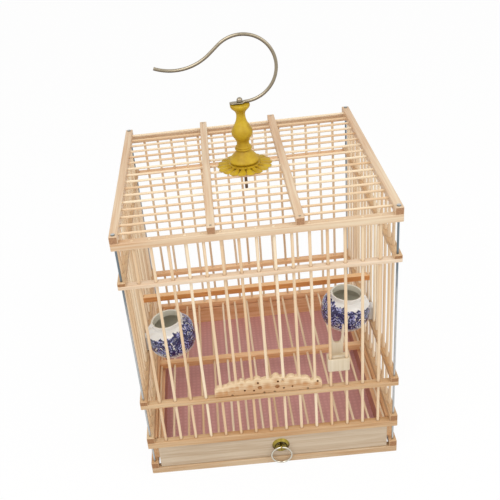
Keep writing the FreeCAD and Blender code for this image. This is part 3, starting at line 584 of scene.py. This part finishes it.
class CAGE_OT_frame(Operator):
    """Finishes the rails, the beams, the perch and the skirts"""

    bl_idname = "cage.frame"
    bl_label = "Frame"

    def execute(self, context):
        colours = context.scene.cage_colours
        beams = [f"{side}_top_beam" for side in SIDES] + [f"roof_mid_beam_{side}" for side in SIDES]
        side_rails = [f"{side}_{level}_rail" for side in SIDES for level in LEVELS[:4]]
        front_rails = [f"front_{level}_rail" for level in LEVELS[1:3]]
        back_rails = [f"back_{level}_rail" for level in LEVELS[1:4]]
        # Material, tones, axis, whether painted shade round the bars' holes shows, and the nodes
        for name, tones, axis, rims, nodes in (
            ("planed_bamboo_x", "bamboo", "X", False, [f"{end}_top_rail" for end in ENDS]),
            ("planed_bamboo_y", "bamboo", "Y", False, beams),
            ("upper_bamboo_x", "upper", "X", True, ["front_upper_rail"]),
            ("lower_bamboo_x", "low", "X", True, ["knob_clamp_plate", *front_rails]),
            ("lower_bamboo_y", "low", "Y", False, side_rails),
            # The base rails take the darker base tones as painted shade
            ("base_bamboo_x", "base", "X", False, [f"{end}_base_rail" for end in ENDS]),
            # The back rails and the grate bar take the paler back tones as painted light
            ("back_bamboo_x", "back", "X", False, ["floor_grate_bar", *back_rails]),
        ):
            dress(planed_bamboo(name, axis, *both_tones(colours, tones), colours.bamboo_end, rims), *nodes)
        # The perch's top is painted light in the lit top colour
        dress(sawn_board("perch_wood", "X", *both_tones(colours, "perch"), 0.5, colours.perch_lit_top), "perch")
        dress(sawn_board("skirt_board", "Y", *both_tones(colours, "back")), "left_skirt", "right_skirt")
        return {"FINISHED"}


class CAGE_OT_drawer(Operator):
    """Finishes the tray drawer's boards and floor"""

    bl_idname = "cage.drawer"
    bl_label = "Drawer"

    def execute(self, context):
        colours = context.scene.cage_colours
        dress(sawn_board("drawer_board_x", "X", *both_tones(colours, "board")), "drawer_front")
        dress(sawn_board("stained_board", "Y", *both_tones(colours, "side"), top_colour=colours.back_pale),
              "drawer_left_side", "drawer_right_side")
        dress(sawn_board("drawer_back_board", "X", *both_tones(colours, "back")), "drawer_back")
        dress(woven_tray("tray_fibreboard", *both_tones(colours, "tray")), "drawer_floor")
        return {"FINISHED"}


class CAGE_OT_pull(Operator):
    """Finishes the drop-ring pull of the drawer"""

    bl_idname = "cage.pull"
    bl_label = "Drawer pull"

    def execute(self, context):
        colours = context.scene.cage_colours
        # The rosette and staple take the patina colour in streaks and, on faces that look down, as painted
        # shade and dark reflection
        brass = drawn_metal("aged_brass", colours.brass, colours.patina_and_shade, 0.22, spared=0.1)
        # The ring's faces that look down take the steel colour as painted shade and dark reflection
        nickel = drawn_metal("nickel_plate", colours.nickel, colours.steel, 0.12)
        dress(brass, "pull_rosette", "pull_staple")
        dress(nickel, "pull_ring")
        return {"FINISHED"}


# Door carving, in millimetres: each lobe's place along it, its height and its half width
CARVING_LOBES = (
    (-46.5, 10.9, 5.2), (-40.0, 11.8, 5.8), (-34.6, 14.2, 6.0), (-29.6, 15.2, 5.4), (-25.2, 17.2, 4.2),
    (-17.0, 16.4, 6.6), (-10.2, 18.6, 5.4), (-0.8, 16.7, 7.6), (8.0, 20.0, 5.6), (13.9, 17.2, 4.6),
    (22.4, 17.3, 6.4), (29.2, 15.9, 6.0), (35.4, 14.0, 6.2), (46.6, 11.0, 5.1),
)
CARVING_SPINE, CARVING_END = 13.0, 6.8
CARVING_LIFT = 0.4
CARVING_STEPS, CARVING_ROWS = 208, 24
PINHOLES = ((-22.7, 5.5), (-13.9, 4.4), (15.0, 4.4), (23.3, 5.6), (-9.5, 13.2), (9.7, 13.1), (14.6, 14.6),
            (47.6, 8.8))
PINHOLE, PINHOLE_DEEP = 1.0, 2.5
EYES = ((-8.0, 7.6), (8.8, 7.0))
EYE, EYE_DEEP = 2.1, 0.9
NICKS = (-35.0, -4.0, 6.0, 38.0)
NICK, NICK_DEEP, NICK_LEVEL = 1.0, 2.0, 1.0
HOLE_SIDES = 20

# Carving's relief, as shares of its depth: where the face lies and leans back, swell and scoop of a lobe
CARVING_FACE = 0.75
LEAN_FROM, LEAN_BACK = 0.55, 3.2
LOBE_SWELL, SCOOP_DEPTH, SCOOP_REACH = 0.4, 0.4, 0.5
SPINE_CURVE, LOBE_CURVE = 1.5, 0.75
# Its tone, which is painted light and shade: the darker tone at the foot as painted shade, how far it pales
# upwards as painted light and how steeply from where, and how far a scoop darkens it as painted shade
SHADE_AT_FOOT, LIGHT_GAIN, LIGHT_SLOPE, LIGHT_START, SCOOP_SHADE = 0.35, 0.55, 2.4, 0.9, 0.45


def crest(place, half):
    """Height of the carving at a place along it, and the lobe that stands there."""
    spine = CARVING_SPINE - (CARVING_SPINE - CARVING_END) * (abs(place) / half) ** SPINE_CURVE
    height, owner = spine, None
    for lobe in CARVING_LOBES:
        off = abs(place - lobe[0]) / lobe[2]
        if off < 1:
            top = spine + (lobe[1] - spine) * (1 - off * off) ** LOBE_CURVE
            if top > height:
                height, owner = top, lobe
    return height, owner


def carving_drills(face, spots, radius, depth):
    """Pins that drill the carving from its face, at places along it and up it."""
    low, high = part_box("door_carving")
    centre = (low.x + high.x) / 2
    flat = Matrix.Rotation(math.radians(90), 4, "X")
    places = [Matrix.Translation((centre + place * MM, face, low.z + level * MM)) @ flat
              for place, level in spots]
    return drills(places, radius, 2 * depth, HOLE_SIDES)


def carved_cresting(relief):
    """The cresting: a bellied front under a row of lobes, each with a scoop, on a flat back."""
    low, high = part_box("door_carving")
    half = (high.x - low.x) / 2 / MM
    centre = (low.x + high.x) / 2
    bm = bmesh.new()
    tone = bm.verts.layers.float.new("tone")
    bmesh.ops.create_grid(bm, x_segments=CARVING_STEPS, y_segments=CARVING_ROWS, size=1)
    for vert in bm.verts:
        place, share = vert.co.x * half, (vert.co.y + 1) / 2
        height, owner = crest(place, half)
        level = share * height
        back = relief * max(0.0, share - LEAN_FROM) ** 2 * LEAN_BACK
        hollow = 0.0
        if owner:
            off = math.hypot(place - owner[0], level - (owner[1] - owner[2])) / owner[2]
            back -= relief * LOBE_SWELL * math.sqrt(max(0.0, 1 - off * off))
            hollow = math.exp(-((off / SCOOP_REACH) ** 2))
            back += relief * SCOOP_DEPTH * hollow
        # The tone paints light and shade: paler up towards the lobes' tops as painted light, darker in each
        # scoop as painted shade
        lit_share = min(1.0, max(0.0, share * LIGHT_SLOPE - LIGHT_START))
        vert[tone] = SHADE_AT_FOOT + LIGHT_GAIN * lit_share - SCOOP_SHADE * hollow
        vert.co = (centre + place * MM, low.y + relief * CARVING_FACE + back,
                   low.z + (CARVING_LIFT + level) * MM)
    rim = [edge for edge in bm.edges if edge.is_boundary]
    grown = bmesh.ops.extrude_edge_only(bm, edges=rim)["geom"]
    for vert in only(BMVert, grown):
        vert.co.y = high.y
    bmesh.ops.edgeloop_fill(bm, edges=[edge for edge in bm.edges if edge.is_boundary])
    bmesh.ops.recalc_face_normals(bm, faces=bm.faces)
    return bm


class CAGE_OT_door(Operator):
    """Makes the carved cresting of the sliding door"""

    bl_idname = "cage.door"
    bl_label = "Door carving"

    def execute(self, context):
        colours, sizes = context.scene.cage_colours, context.scene.cage_sizes
        # The carving's tone attribute holds its painted light and shade
        carved = bamboo_rod("carved_bamboo", "X", *both_tones(colours, "carving"))
        # Holes and hollows in the carving get painted shade on their walls
        hole_shade = sawn_board("burnt_bamboo", "Y", colours.hollow_shade, colours.hole_shade)
        hollow_shade = sawn_board("scorched_bamboo", "Y", colours.carving_deep, colours.hollow_shade)
        obj = piece("carved_cresting", carved_cresting(sizes.carving_relief), "door",
                    ["door_carving"], carved, sharp=50)
        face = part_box("door_carving")[0].y + sizes.carving_relief * CARVING_FACE
        nicks = [(place, NICK_LEVEL) for place in NICKS]
        drill(obj, carving_drills(face, PINHOLES, PINHOLE, PINHOLE_DEEP), hole_shade)
        drill(obj, carving_drills(face, nicks, NICK, NICK_DEEP), hole_shade)
        drill(obj, carving_drills(face, EYES, EYE, EYE_DEEP), hollow_shade)
        return {"FINISHED"}


# Fruit fork, in millimetres: outline of the right half of its plate as (reach, height above the block)
FORK_PLATE = (
    (0.0, -1.0), (0.0, -1.0), (5.6, -1.0), (5.6, -1.0), (5.8, 8.0), (6.4, 20.0), (6.9, 30.0), (6.7, 32.0),
    (6.2, 32.5), (5.6, 32.0), (5.1, 28.0), (4.2, 19.0), (3.2, 14.6), (1.4, 13.1), (0.0, 13.0),
)
FORK_THICK = 2.4
FORK_EDGE = 0.5
BLOCK_TALL = 14.3
BLOCK_EDGE = 0.9
BORE, BORE_SIDES = 1.5, 24


def fork_block(low, high):
    """The fork's block, with soft edges."""
    bm = bmesh.new()
    size = Vector((high.x - low.x, high.y - low.y, BLOCK_TALL * MM))
    bmesh.ops.create_cube(bm, size=1, matrix=Matrix.Translation(low + size / 2) @ Matrix.Diagonal((*size, 1)))
    soften(bm, bm.edges, BLOCK_EDGE, 3)
    return bm


def fork_plate(low, high):
    """The fork's two-pronged plate at the back of the block's top."""
    bm = bmesh.new()
    half = flowing(FORK_PLATE, steps=4)
    around = half + [(-reach, height) for reach, height in reversed(half[1:-1])]
    foot = Vector(((low.x + high.x) / 2, high.y - FORK_THICK * MM, low.z + BLOCK_TALL * MM))
    verts = [bm.verts.new(foot + Vector((reach, 0, height)) * MM) for reach, height in around]
    edges = [bm.edges.new(pair) for pair in zip(verts, verts[1:] + verts[:1])]
    bmesh.ops.triangle_fill(bm, edges=edges, use_beauty=True)
    run(bm, bm.faces[:], (0, FORK_THICK * MM, 0))
    bmesh.ops.recalc_face_normals(bm, faces=bm.faces)
    rims = [edge for edge in bm.edges if abs(edge.verts[0].co.y - edge.verts[1].co.y) < WELD
            and edge.calc_face_angle() > SHARP_EDGE]
    soften(bm, rims, FORK_EDGE, 2, clamp=True)
    return bm


def bar_bores(low, high):
    """Tools that bore the block for its two wall bars."""
    bars_low, bars_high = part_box("front_right_bars")
    pitch = (bars_high.x - bars_low.x - (bars_high.y - bars_low.y)) / (DOOR_SIDE_BARS - 1)
    line = (bars_low.y + bars_high.y) / 2
    places = [Matrix.Translation(((low.x + high.x + side * pitch) / 2, line, low.z))
              for side in SIDES.values()]
    return drills(places, BORE, 4 * BLOCK_TALL, BORE_SIDES)


class CAGE_OT_fork(Operator):
    """Makes the fruit fork"""

    bl_idname = "cage.fork"
    bl_label = "Fruit fork"

    def execute(self, context):
        colours = context.scene.cage_colours
        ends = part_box("fruit_fork")
        pale = planed_bamboo("fork_bamboo", "Z", *both_tones(colours, "fork"), colours.fork_deep)
        block = piece("fruit_fork_block", fork_block(*ends), "fruit_fork", ["fruit_fork"],
                      pale, sharp=50)
        drill(block, bar_bores(*ends), pale)
        piece("fruit_fork_prongs", fork_plate(*ends), "fruit_fork", ["fruit_fork"],
              pale, sharp=50)
        return {"FINISHED"}


# Cups: sizes in millimetres, from the foot up, and where their bellies stand
CUP_TALL = 41.6
CUP_FOOT, CUP_BELLY, CUP_NECK, CUP_RIM = 14.5, 25.5, 16.5, 16.9
CUP_BELLY_LEVEL, CUP_SHOULDER_LEVEL, CUP_NECK_LEVEL = 17.5, 26.0, 36.8
CUP_WALL = 2.6
CUP_FLOOR = 4.0
CUP_LEAN = {"left": 8.0, "right": 5.0}
CUP_GIRTH = math.tau * CUP_BELLY
CUP_AXIS = 92.5
CUP_FOOT_LEVEL = 89.4

# Painting on a cup, in millimetres up its side
FLOWER_COUNT = 6
FLOWER_LEVEL, FLOWER_REACH, PETAL_RING = 16.5, 8.6, 3.3
LEAF_SIZE = 3.6
BAND_FOOT, BAND_TOP, BAND_RISE = 10.0, 33.0, 3.5
BAND_RIPPLE, BAND_WAVE = 6.0, 8.0
LINE_GAP, LINE_HALF = 1.3, 0.45
WASH_SIZE = 5.0
FLOWER_SCALLOPS, SCALLOP_DEPTH = 8.0, 0.7
# Heights in the painting's map of the dull inside, and of porcelain without painting
INSIDE_V, BLANK_V = -2, -1


def cup_shell():
    """The thrown cup, standing on its foot: outside up to the rim, over it and down the inside."""
    outside = flowing([
        (CUP_FOOT - 1.5, 0.0), (CUP_FOOT, 0.7), (CUP_FOOT + 0.8, 1.8), (CUP_BELLY - 5.0, 5.4),
        (CUP_BELLY - 1.7, 10.6), (CUP_BELLY, CUP_BELLY_LEVEL),
        (CUP_BELLY - 0.2, CUP_SHOULDER_LEVEL - 1.5), (CUP_BELLY - 1.5, 30.6), (CUP_BELLY - 4.6, 34.2),
        (CUP_NECK + 1.0, 36.0), (CUP_NECK, CUP_NECK_LEVEL), (CUP_RIM - 0.2, CUP_TALL - 1.2),
        (CUP_RIM, CUP_TALL - 0.6),
    ])
    rim = flowing([
        (CUP_RIM, CUP_TALL - 0.6), (CUP_RIM - 0.6, CUP_TALL),
        (CUP_RIM - CUP_WALL * 0.8, CUP_TALL - 0.5),
    ])
    inside = flowing([
        (CUP_RIM - CUP_WALL * 0.8, CUP_TALL - 0.5), (CUP_NECK - CUP_WALL * 0.8, CUP_NECK_LEVEL - 1.0),
        (CUP_NECK + 1.6 - CUP_WALL, 34.0), (CUP_BELLY - 4.6 - CUP_WALL, 31.8),
        (CUP_BELLY - CUP_WALL, CUP_SHOULDER_LEVEL - 1.5), (CUP_BELLY - CUP_WALL, CUP_BELLY_LEVEL),
        (CUP_BELLY - 3.0 - CUP_WALL, 9.5), (CUP_FOOT - CUP_WALL, CUP_FLOOR),
    ])
    return lathe([(0.0, 0.0), *outside, *rim[1:], *inside[1:], (0.0, CUP_FLOOR)])


# Lug of a cup, in millimetres
LUG_WIDE, LUG_THICK, LUG_RISE, LUG_DROP = 11.0, 3.4, 16.0, 3.8
LUG_REACH, LUG_SLANT = 13.3, 0.9
LUG_ROUND, LUG_EDGE = 4.0, 1.1


def cup_lug(side):
    """The lug: a web out of the belly over the rail, with a lip down the rail's outer side."""
    low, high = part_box(f"{side}_cup")
    outer = max(abs(low.x), abs(high.x)) / MM
    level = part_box(f"{side}_lower_rail")[1].z / MM
    inner, lip, top, tip = outer - LUG_REACH, outer - LUG_THICK, level + LUG_RISE, level - LUG_DROP
    corners = ((inner - LUG_SLANT, level), (lip, level), (lip, tip), (outer, tip), (outer, top),
               (inner + LUG_SLANT, top))
    bm = bmesh.new()
    verts = [bm.verts.new(Vector((along, -LUG_WIDE / 2, height)) * MM) for along, height in corners]
    bm.faces.new(verts)
    soften(bm, [verts[4]], LUG_ROUND, 6, affect="VERTICES")
    run(bm, bm.faces[:], (0, LUG_WIDE * MM, 0))
    bmesh.ops.recalc_face_normals(bm, faces=bm.faces)
    rims = [edge for edge in bm.edges if edge.calc_face_angle() > SHARP_EDGE]
    soften(bm, rims, LUG_EDGE, 3, clamp=True)
    if SIDES[side] < 0:
        bmesh.ops.scale(bm, vec=(-1, 1, 1), verts=bm.verts)
        bmesh.ops.reverse_faces(bm, faces=bm.faces)
    return bm


def wrap_glaze(bm, inner):
    """Lays the painting's map round the cup: turns from its inner side along U, height along V."""
    layer = bm.loops.layers.uv.new("glaze")
    for face in bm.faces:
        centre = face.calc_center_median()
        middle_turn = math.atan2(centre.y, inner * centre.x) / math.tau
        inward = face.normal.xy.dot(centre.xy) < 0
        for loop in face.loops:
            turn = math.atan2(loop.vert.co.y, inner * loop.vert.co.x) / math.tau
            turn += round(middle_turn - turn)
            loop[layer].uv = (turn, INSIDE_V if inward else loop.vert.co.z / (CUP_TALL * MM))


class CAGE_OT_cups(Operator):
    """Makes the porcelain cups with their lugs"""

    bl_idname = "cage.cups"
    bl_label = "Porcelain cups"

    def execute(self, context):
        colours = context.scene.cage_colours
        glaze = painted_porcelain("painted_porcelain", colours.porcelain, colours.cobalt, colours.cobalt_wash,
                                  colours.inside_shade)
        for side, sign in SIDES.items():
            lean = math.radians(CUP_LEAN[side])
            centre = middle(f"{side}_cup")
            foot_x = sign * CUP_AXIS - sign * CUP_BELLY_LEVEL * math.sin(lean)
            foot = Vector((foot_x, centre.y / MM, CUP_FOOT_LEVEL)) * MM
            bm = cup_shell()
            wrap_glaze(bm, -sign)
            bmesh.ops.transform(bm, verts=bm.verts,
                                matrix=Matrix.Translation(foot) @ Matrix.Rotation(sign * lean, 4, "Y"))
            lug = cup_lug(side)
            bmesh.ops.translate(lug, verts=lug.verts, vec=(0, centre.y, 0))
            blank = lug.loops.layers.uv.new("glaze")
            for face in lug.faces:
                for loop in face.loops:
                    loop[blank].uv = (0, BLANK_V)
            join(bm, lug)
            piece(f"{side}_cup_thrown", bm, f"{side}_cup", [f"{side}_cup"], glaze, sharp=50)
        return {"FINISHED"}


# Knob, in millimetres above its foot, as (radius, height); a doubled point keeps a corner
KNOB_BORE = 1.6
KNOB_RING = ((14.4, -1.0), (15.1, -0.6), (15.1, 0.3), (14.5, 0.8))
KNOB_BELL = ((11.8, 1.0), (11.8, 1.0), (12.0, 1.9), (13.9, 2.4), (14.6, 3.4), (14.3, 4.7), (12.4, 7.4),
             (9.4, 10.6), (7.4, 13.0), (6.7, 14.6), (6.7, 14.6))
KNOB_COLLAR = ((7.6, 14.7), (8.3, 15.3), (8.1, 16.2), (7.3, 16.5), (7.3, 16.5), (7.6, 17.1), (7.3, 18.0),
               (6.7, 18.2), (6.7, 18.2))
KNOB_BULB = ((6.2, 19.4), (6.0, 21.2), (6.2, 23.2), (7.6, 26.2), (9.6, 29.4), (10.2, 32.4), (9.5, 35.6),
             (7.5, 39.2), (5.6, 42.8), (4.6, 46.2), (4.3, 49.4), (4.6, 51.8), (5.8, 53.8), (7.6, 55.6),
             (8.8, 57.0), (9.4, 58.4), (9.4, 59.5), (8.9, 60.3), (8.9, 60.3))

# Petals, in millimetres: where they start and end, half widths there, half thickness
PETAL_START, PETAL_END = 11.0, 27.0
PETAL_SLIM, PETAL_WIDE = 0.7, 5.3
PETAL_ROOT, PETAL_TIP = 1.6, 0.75
PETAL_RIDGE, PETAL_CREASE = 0.45, 2.2
PETAL_LIFT = 0.05
PETAL_BLUNT = 0.45
FLOWER_PLATE = ((1.7, 0.05), (15.5, 0.05), (15.8, 0.3), (15.5, 0.5), (13.0, 0.6), (13.0, 1.6), (1.7, 1.6),
                (1.7, 0.05))


def petal(turn, level):
    """One petal: a tongue that widens to a round tip, with a ridge along its middle."""
    bm = bmesh.new()
    bmesh.ops.create_uvsphere(bm, u_segments=20, v_segments=10, radius=1)
    for vert in bm.verts:
        share = (math.copysign(abs(vert.co.x) ** PETAL_BLUNT, vert.co.x) + 1) / 2
        wide = PETAL_SLIM + (PETAL_WIDE - PETAL_SLIM) * share
        ridge = PETAL_RIDGE * max(0.0, 1 - abs(vert.co.y) * PETAL_CREASE) if vert.co.z > 0 else 0
        thick = PETAL_ROOT + (PETAL_TIP - PETAL_ROOT) * share
        vert.co = ((PETAL_START + (PETAL_END - PETAL_START) * share) * MM, vert.co.y * wide * MM,
                   level + ((vert.co.z + 1) * thick + ridge * (1 - share)) * MM)
    bmesh.ops.rotate(bm, verts=bm.verts, cent=(0, 0, 0), matrix=Matrix.Rotation(turn, 3, "Z"))
    return bm


class CAGE_OT_knob(Operator):
    """Makes the turned knob and its flower"""

    bl_idname = "cage.knob"
    bl_label = "Knob and flower"

    def execute(self, context):
        colours, sizes = context.scene.cage_colours, context.scene.cage_sizes
        lacquer = yellow_lacquer("yellow_lacquer", colours.lacquer, colours.lacquer_worn)
        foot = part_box("knob_finial")[0].z
        outline = [(KNOB_BORE, KNOB_RING[0][1]), *KNOB_RING, *flowing(KNOB_BELL), *flowing(KNOB_COLLAR, 4),
                   *flowing(KNOB_BULB)]
        turned = lathe([*outline, (KNOB_BORE, outline[-1][1]), outline[0]])
        bmesh.ops.translate(turned, verts=turned.verts, vec=(0, 0, foot))
        piece("turned_finial", turned, "cage", ["knob_finial"], lacquer, sharp=40)
        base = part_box("knob_flower")[0].z
        flower = lathe(FLOWER_PLATE)
        bmesh.ops.translate(flower, verts=flower.verts, vec=(0, 0, base))
        for index in range(sizes.petals):
            join(flower, petal(math.tau * index / sizes.petals, base + PETAL_LIFT * MM))
        piece("petalled_flower", flower, "cage", ["knob_flower"], lacquer, sharp=40)
        return {"FINISHED"}


# Hook, in millimetres: radii, places and bends of its wire
HOOK_WIRE = 1.59
HOOK_BEND, HOOK_BEND_START = 31.4, 4.8
HOOK_PAST_CROWN = 40.5
HOOK_NECK = 10.8
HOOK_TAIL, HOOK_PAST_LEVEL = 50.0, 23.3
EYE_START, EYE_FLAT_FROM, EYE_FLAT_TO = -9.6, -5.8, 2.4
EYE_WIDE, EYE_THICK = 3.8, 1.1
EYE_ROUNDS, EYE_NARROWEST = 5, 0.2
WIRE_SIDES, BEND_STEPS, TAIL_STEPS = 20, 64, 24


def eye_sections(eye_level, wire_level):
    """Sections of the eye from its round end to the wire: place, half width, half thickness, level."""
    for step in range(EYE_ROUNDS + 1):
        turn = math.radians(90) * (1 - step / EYE_ROUNDS)
        place = EYE_FLAT_FROM + (EYE_START - EYE_FLAT_FROM) * math.sin(turn)
        yield place, EYE_WIDE * max(EYE_NARROWEST, math.cos(turn)), EYE_THICK, eye_level
    yield EYE_FLAT_TO, EYE_WIDE, EYE_THICK, eye_level
    yield ((EYE_FLAT_TO + HOOK_BEND_START) / 2, (EYE_WIDE + HOOK_WIRE) / 2, (EYE_THICK + HOOK_WIRE) / 2,
           (eye_level + wire_level) / 2)
    yield HOOK_BEND_START, HOOK_WIRE, HOOK_WIRE, wire_level


def bent_hook():
    """The hook: a wire hammered flat into an eye, bent round, and back into a tail."""
    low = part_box("hook")[0]
    wire_level = low.z + HOOK_WIRE * MM
    bm = bmesh.new()
    bmesh.ops.create_circle(bm, cap_ends=True, segments=WIRE_SIDES, radius=1,
                            matrix=Matrix.Rotation(math.radians(90), 4, "Y"))
    last = bm.faces[:]
    before = None
    for place, wide, thick, level in eye_sections(low.z + EYE_THICK * MM, wire_level):
        shape = Matrix.Translation((place * MM, 0, level)) @ Matrix.Diagonal((1, wide * MM, thick * MM, 1))
        if before:
            last = run(bm, last, (0, 0, 0))
        face = only(BMFace, last)[0]
        bmesh.ops.transform(bm, verts=face.verts, matrix=shape @ before.inverted() if before else shape)
        before = shape
    centre = Vector((HOOK_BEND_START * MM, 0, wire_level + HOOK_BEND * MM))
    sweep = math.radians(180 + HOOK_PAST_CROWN)
    swept = bmesh.ops.spin(bm, geom=last, cent=centre, axis=(0, -1, 0), angle=sweep, steps=BEND_STEPS)
    past = math.radians(HOOK_PAST_CROWN)
    heading = Vector((-math.cos(past), 0, -math.sin(past)))
    last = run(bm, swept["geom_last"], heading * HOOK_NECK * MM)
    end = only(BMFace, last)[0].calc_center_median()
    side = Vector((-math.sin(past), 0, math.cos(past)))
    tail = math.radians(HOOK_PAST_CROWN + HOOK_PAST_LEVEL)
    bmesh.ops.spin(bm, geom=last, cent=end + side * HOOK_TAIL * MM, axis=(0, 1, 0), angle=tail,
                   steps=TAIL_STEPS)
    bmesh.ops.remove_doubles(bm, verts=bm.verts, dist=WELD)
    # The sweeps leave their starting sections inside the wire
    inside = [face for face in bm.faces if all(len(edge.link_faces) > 2 for edge in face.edges)]
    bmesh.ops.delete(bm, geom=inside, context="FACES_ONLY")
    bmesh.ops.recalc_face_normals(bm, faces=bm.faces)
    return bm


class CAGE_OT_metal(Operator):
    """Makes the hook and finishes the pins, the nails and the stud"""

    bl_idname = "cage.metal"
    bl_label = "Hook, pins and nails"

    def execute(self, context):
        colours = context.scene.cage_colours
        # The hook, brads, cap nut and stud take the steel underside colour on faces that look down: painted
        # shade and dark reflection
        steel = drawn_metal("hook_steel", colours.steel, colours.steel_shade, 0.28)
        piece("bent_hook", bent_hook(), "hook", ["hook"], steel, sharp=60)
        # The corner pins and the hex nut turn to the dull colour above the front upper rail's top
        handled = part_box("front_upper_rail")[1].z
        pins = drawn_metal("pin_steel", colours.pin, colours.pin_dull, 0.35, handled=handled)
        stud = drawn_metal("stud_steel", colours.stud, colours.steel_shade, 0.4)
        dress(pins, "knob_hex_nut", *(f"corner_pin_{end}_{side}" for end in ENDS for side in SIDES))
        dress(steel, "roof_brads", "knob_cap_nut")
        dress(stud, "knob_stud")
        return {"FINISHED"}


# Stage: the photograph's viewpoint in millimetres and degrees
CAMERA_PLACE = (-26.59, -695.15, 585.97)
CAMERA_YAW, CAMERA_PITCH, CAMERA_ROLL = -2.095, 30.485, -6.931
FRAME_PIXELS = 500
FOCAL_PIXELS = 768.74
AXIS_PIXEL = (202.79, 258.16)
SENSOR = 36.0

# Floor and sky: half width in metres, how far the floor glows where it is looked at, light that the sky sheds
FLOOR_REACH = 8.0
FLOOR_GLOW = 0.95
SKY_SHED = 0.7
PAPER = linear("#F4F3F1")
WHITE = (1, 1, 1, 1)

# Lamps: place and size in metres, power in watts
LAMPS = {
    "key_lamp": ((-0.45, -0.75, 1.25), 0.9, 7.0),
    "fill_lamp": ((0.9, -0.7, 1.15), 1.2, 6.0),
}
LAMP_AIM = Vector((0, 0, 0.15))


def looked_at(add):
    """1 where a ray comes from the camera, also by a gloss or through glass, and 0 for scattered light."""
    path = add("LightPath")
    seen = add("Math.MAXIMUM", path.outputs["Is Camera Ray"], path.outputs["Is Glossy Ray"])
    return add("Math.MAXIMUM", seen, path.outputs["Is Transmission Ray"])


class CAGE_OT_stage(Operator):
    """Makes the floor, the lamps, the sky and the camera"""

    bl_idname = "cage.stage"
    bl_label = "Stage"

    def execute(self, context):
        scene = context.scene
        scene.view_settings.view_transform = "Standard"
        self.floor()
        self.sky(scene)
        self.lamps()
        self.camera(scene)
        return {"FINISHED"}

    def floor(self):
        bm = bmesh.new()
        bmesh.ops.create_grid(bm, x_segments=1, y_segments=1, size=FLOOR_REACH)
        material, add, shader = fresh("white_paper")
        plug(shader, {"Base Color": PAPER, "Roughness": 0.9})
        glow = add("Emission", {"Color": WHITE, "Strength": 1.0})
        share = add("Math.MULTIPLY", looked_at(add), FLOOR_GLOW)
        mix = add("MixShader", share, shader, glow)
        plug(material.node_tree.nodes["Material Output"], {"Surface": mix})
        floor = solid("floor", bm)
        floor.data.materials.append(material)

    def sky(self, scene):
        world = bpy.data.worlds.new("white_sky")
        world.use_nodes = True
        add = partial(add_node, world.node_tree)
        level = add("MapRange", looked_at(add), 0.0, 1.0, SKY_SHED, 1.0)
        plug(world.node_tree.nodes["Background"], {"Color": WHITE, "Strength": level})
        scene.world = world

    def lamps(self):
        for name, (place, size, power) in LAMPS.items():
            lamp = bpy.data.lights.new(name, "AREA")
            lamp.shape = "DISK"
            lamp.size = size
            lamp.energy = power
            obj = bpy.data.objects.new(name, lamp)
            obj.location = place
            obj.rotation_euler = (LAMP_AIM - Vector(place)).to_track_quat("-Z", "Y").to_euler()
            bpy.context.collection.objects.link(obj)

    def camera(self, scene):
        camera = bpy.data.cameras.new("camera")
        camera.sensor_width = SENSOR
        camera.lens = FOCAL_PIXELS / FRAME_PIXELS * SENSOR
        camera.shift_x = 0.5 - AXIS_PIXEL[0] / FRAME_PIXELS
        camera.shift_y = AXIS_PIXEL[1] / FRAME_PIXELS - 0.5
        obj = bpy.data.objects.new("camera", camera)
        level = Matrix.Rotation(math.radians(90 - CAMERA_PITCH), 4, "X")
        heading = Matrix.Rotation(math.radians(-CAMERA_YAW), 4, "Z")
        roll = Matrix.Rotation(math.radians(CAMERA_ROLL), 4, "Z")
        obj.matrix_world = Matrix.Translation(Vector(CAMERA_PLACE) * MM) @ heading @ level @ roll
        bpy.context.collection.objects.link(obj)
        scene.camera = obj


OPERATORS = (CAGE_OT_stage, CAGE_OT_frame, CAGE_OT_bars, CAGE_OT_drawer, CAGE_OT_pull, CAGE_OT_door,
             CAGE_OT_fork, CAGE_OT_cups, CAGE_OT_knob, CAGE_OT_metal)


class CAGE_PT_panel(Panel):
    """Lists the steps that dress the cage and the values that they use"""

    bl_idname = "CAGE_PT_panel"
    bl_label = "Bird cage"
    bl_space_type = "VIEW_3D"
    bl_region_type = "UI"
    bl_category = "Cage"

    def draw(self, context):
        for operator in OPERATORS:
            self.layout.operator(operator.bl_idname)
        for group in (context.scene.cage_sizes, context.scene.cage_colours):
            for name in group.__annotations__:
                self.layout.prop(group, name)


CLASSES = (CageColours, CageSizes, *OPERATORS, CAGE_PT_panel)


def register():
    for item in CLASSES:
        bpy.utils.register_class(item)
    bpy.types.Scene.cage_colours = PointerProperty(type=CageColours)
    bpy.types.Scene.cage_sizes = PointerProperty(type=CageSizes)


def unregister():
    del bpy.types.Scene.cage_sizes
    del bpy.types.Scene.cage_colours
    for item in reversed(CLASSES):
        bpy.utils.unregister_class(item)


def main():
    register()
    bpy.ops.cage.stage()
    bpy.ops.cage.frame()
    bpy.ops.cage.bars()
    bpy.ops.cage.drawer()
    bpy.ops.cage.pull()
    bpy.ops.cage.door()
    bpy.ops.cage.fork()
    bpy.ops.cage.cups()
    bpy.ops.cage.knob()
    bpy.ops.cage.metal()


if __name__ == "__main__":
    main()
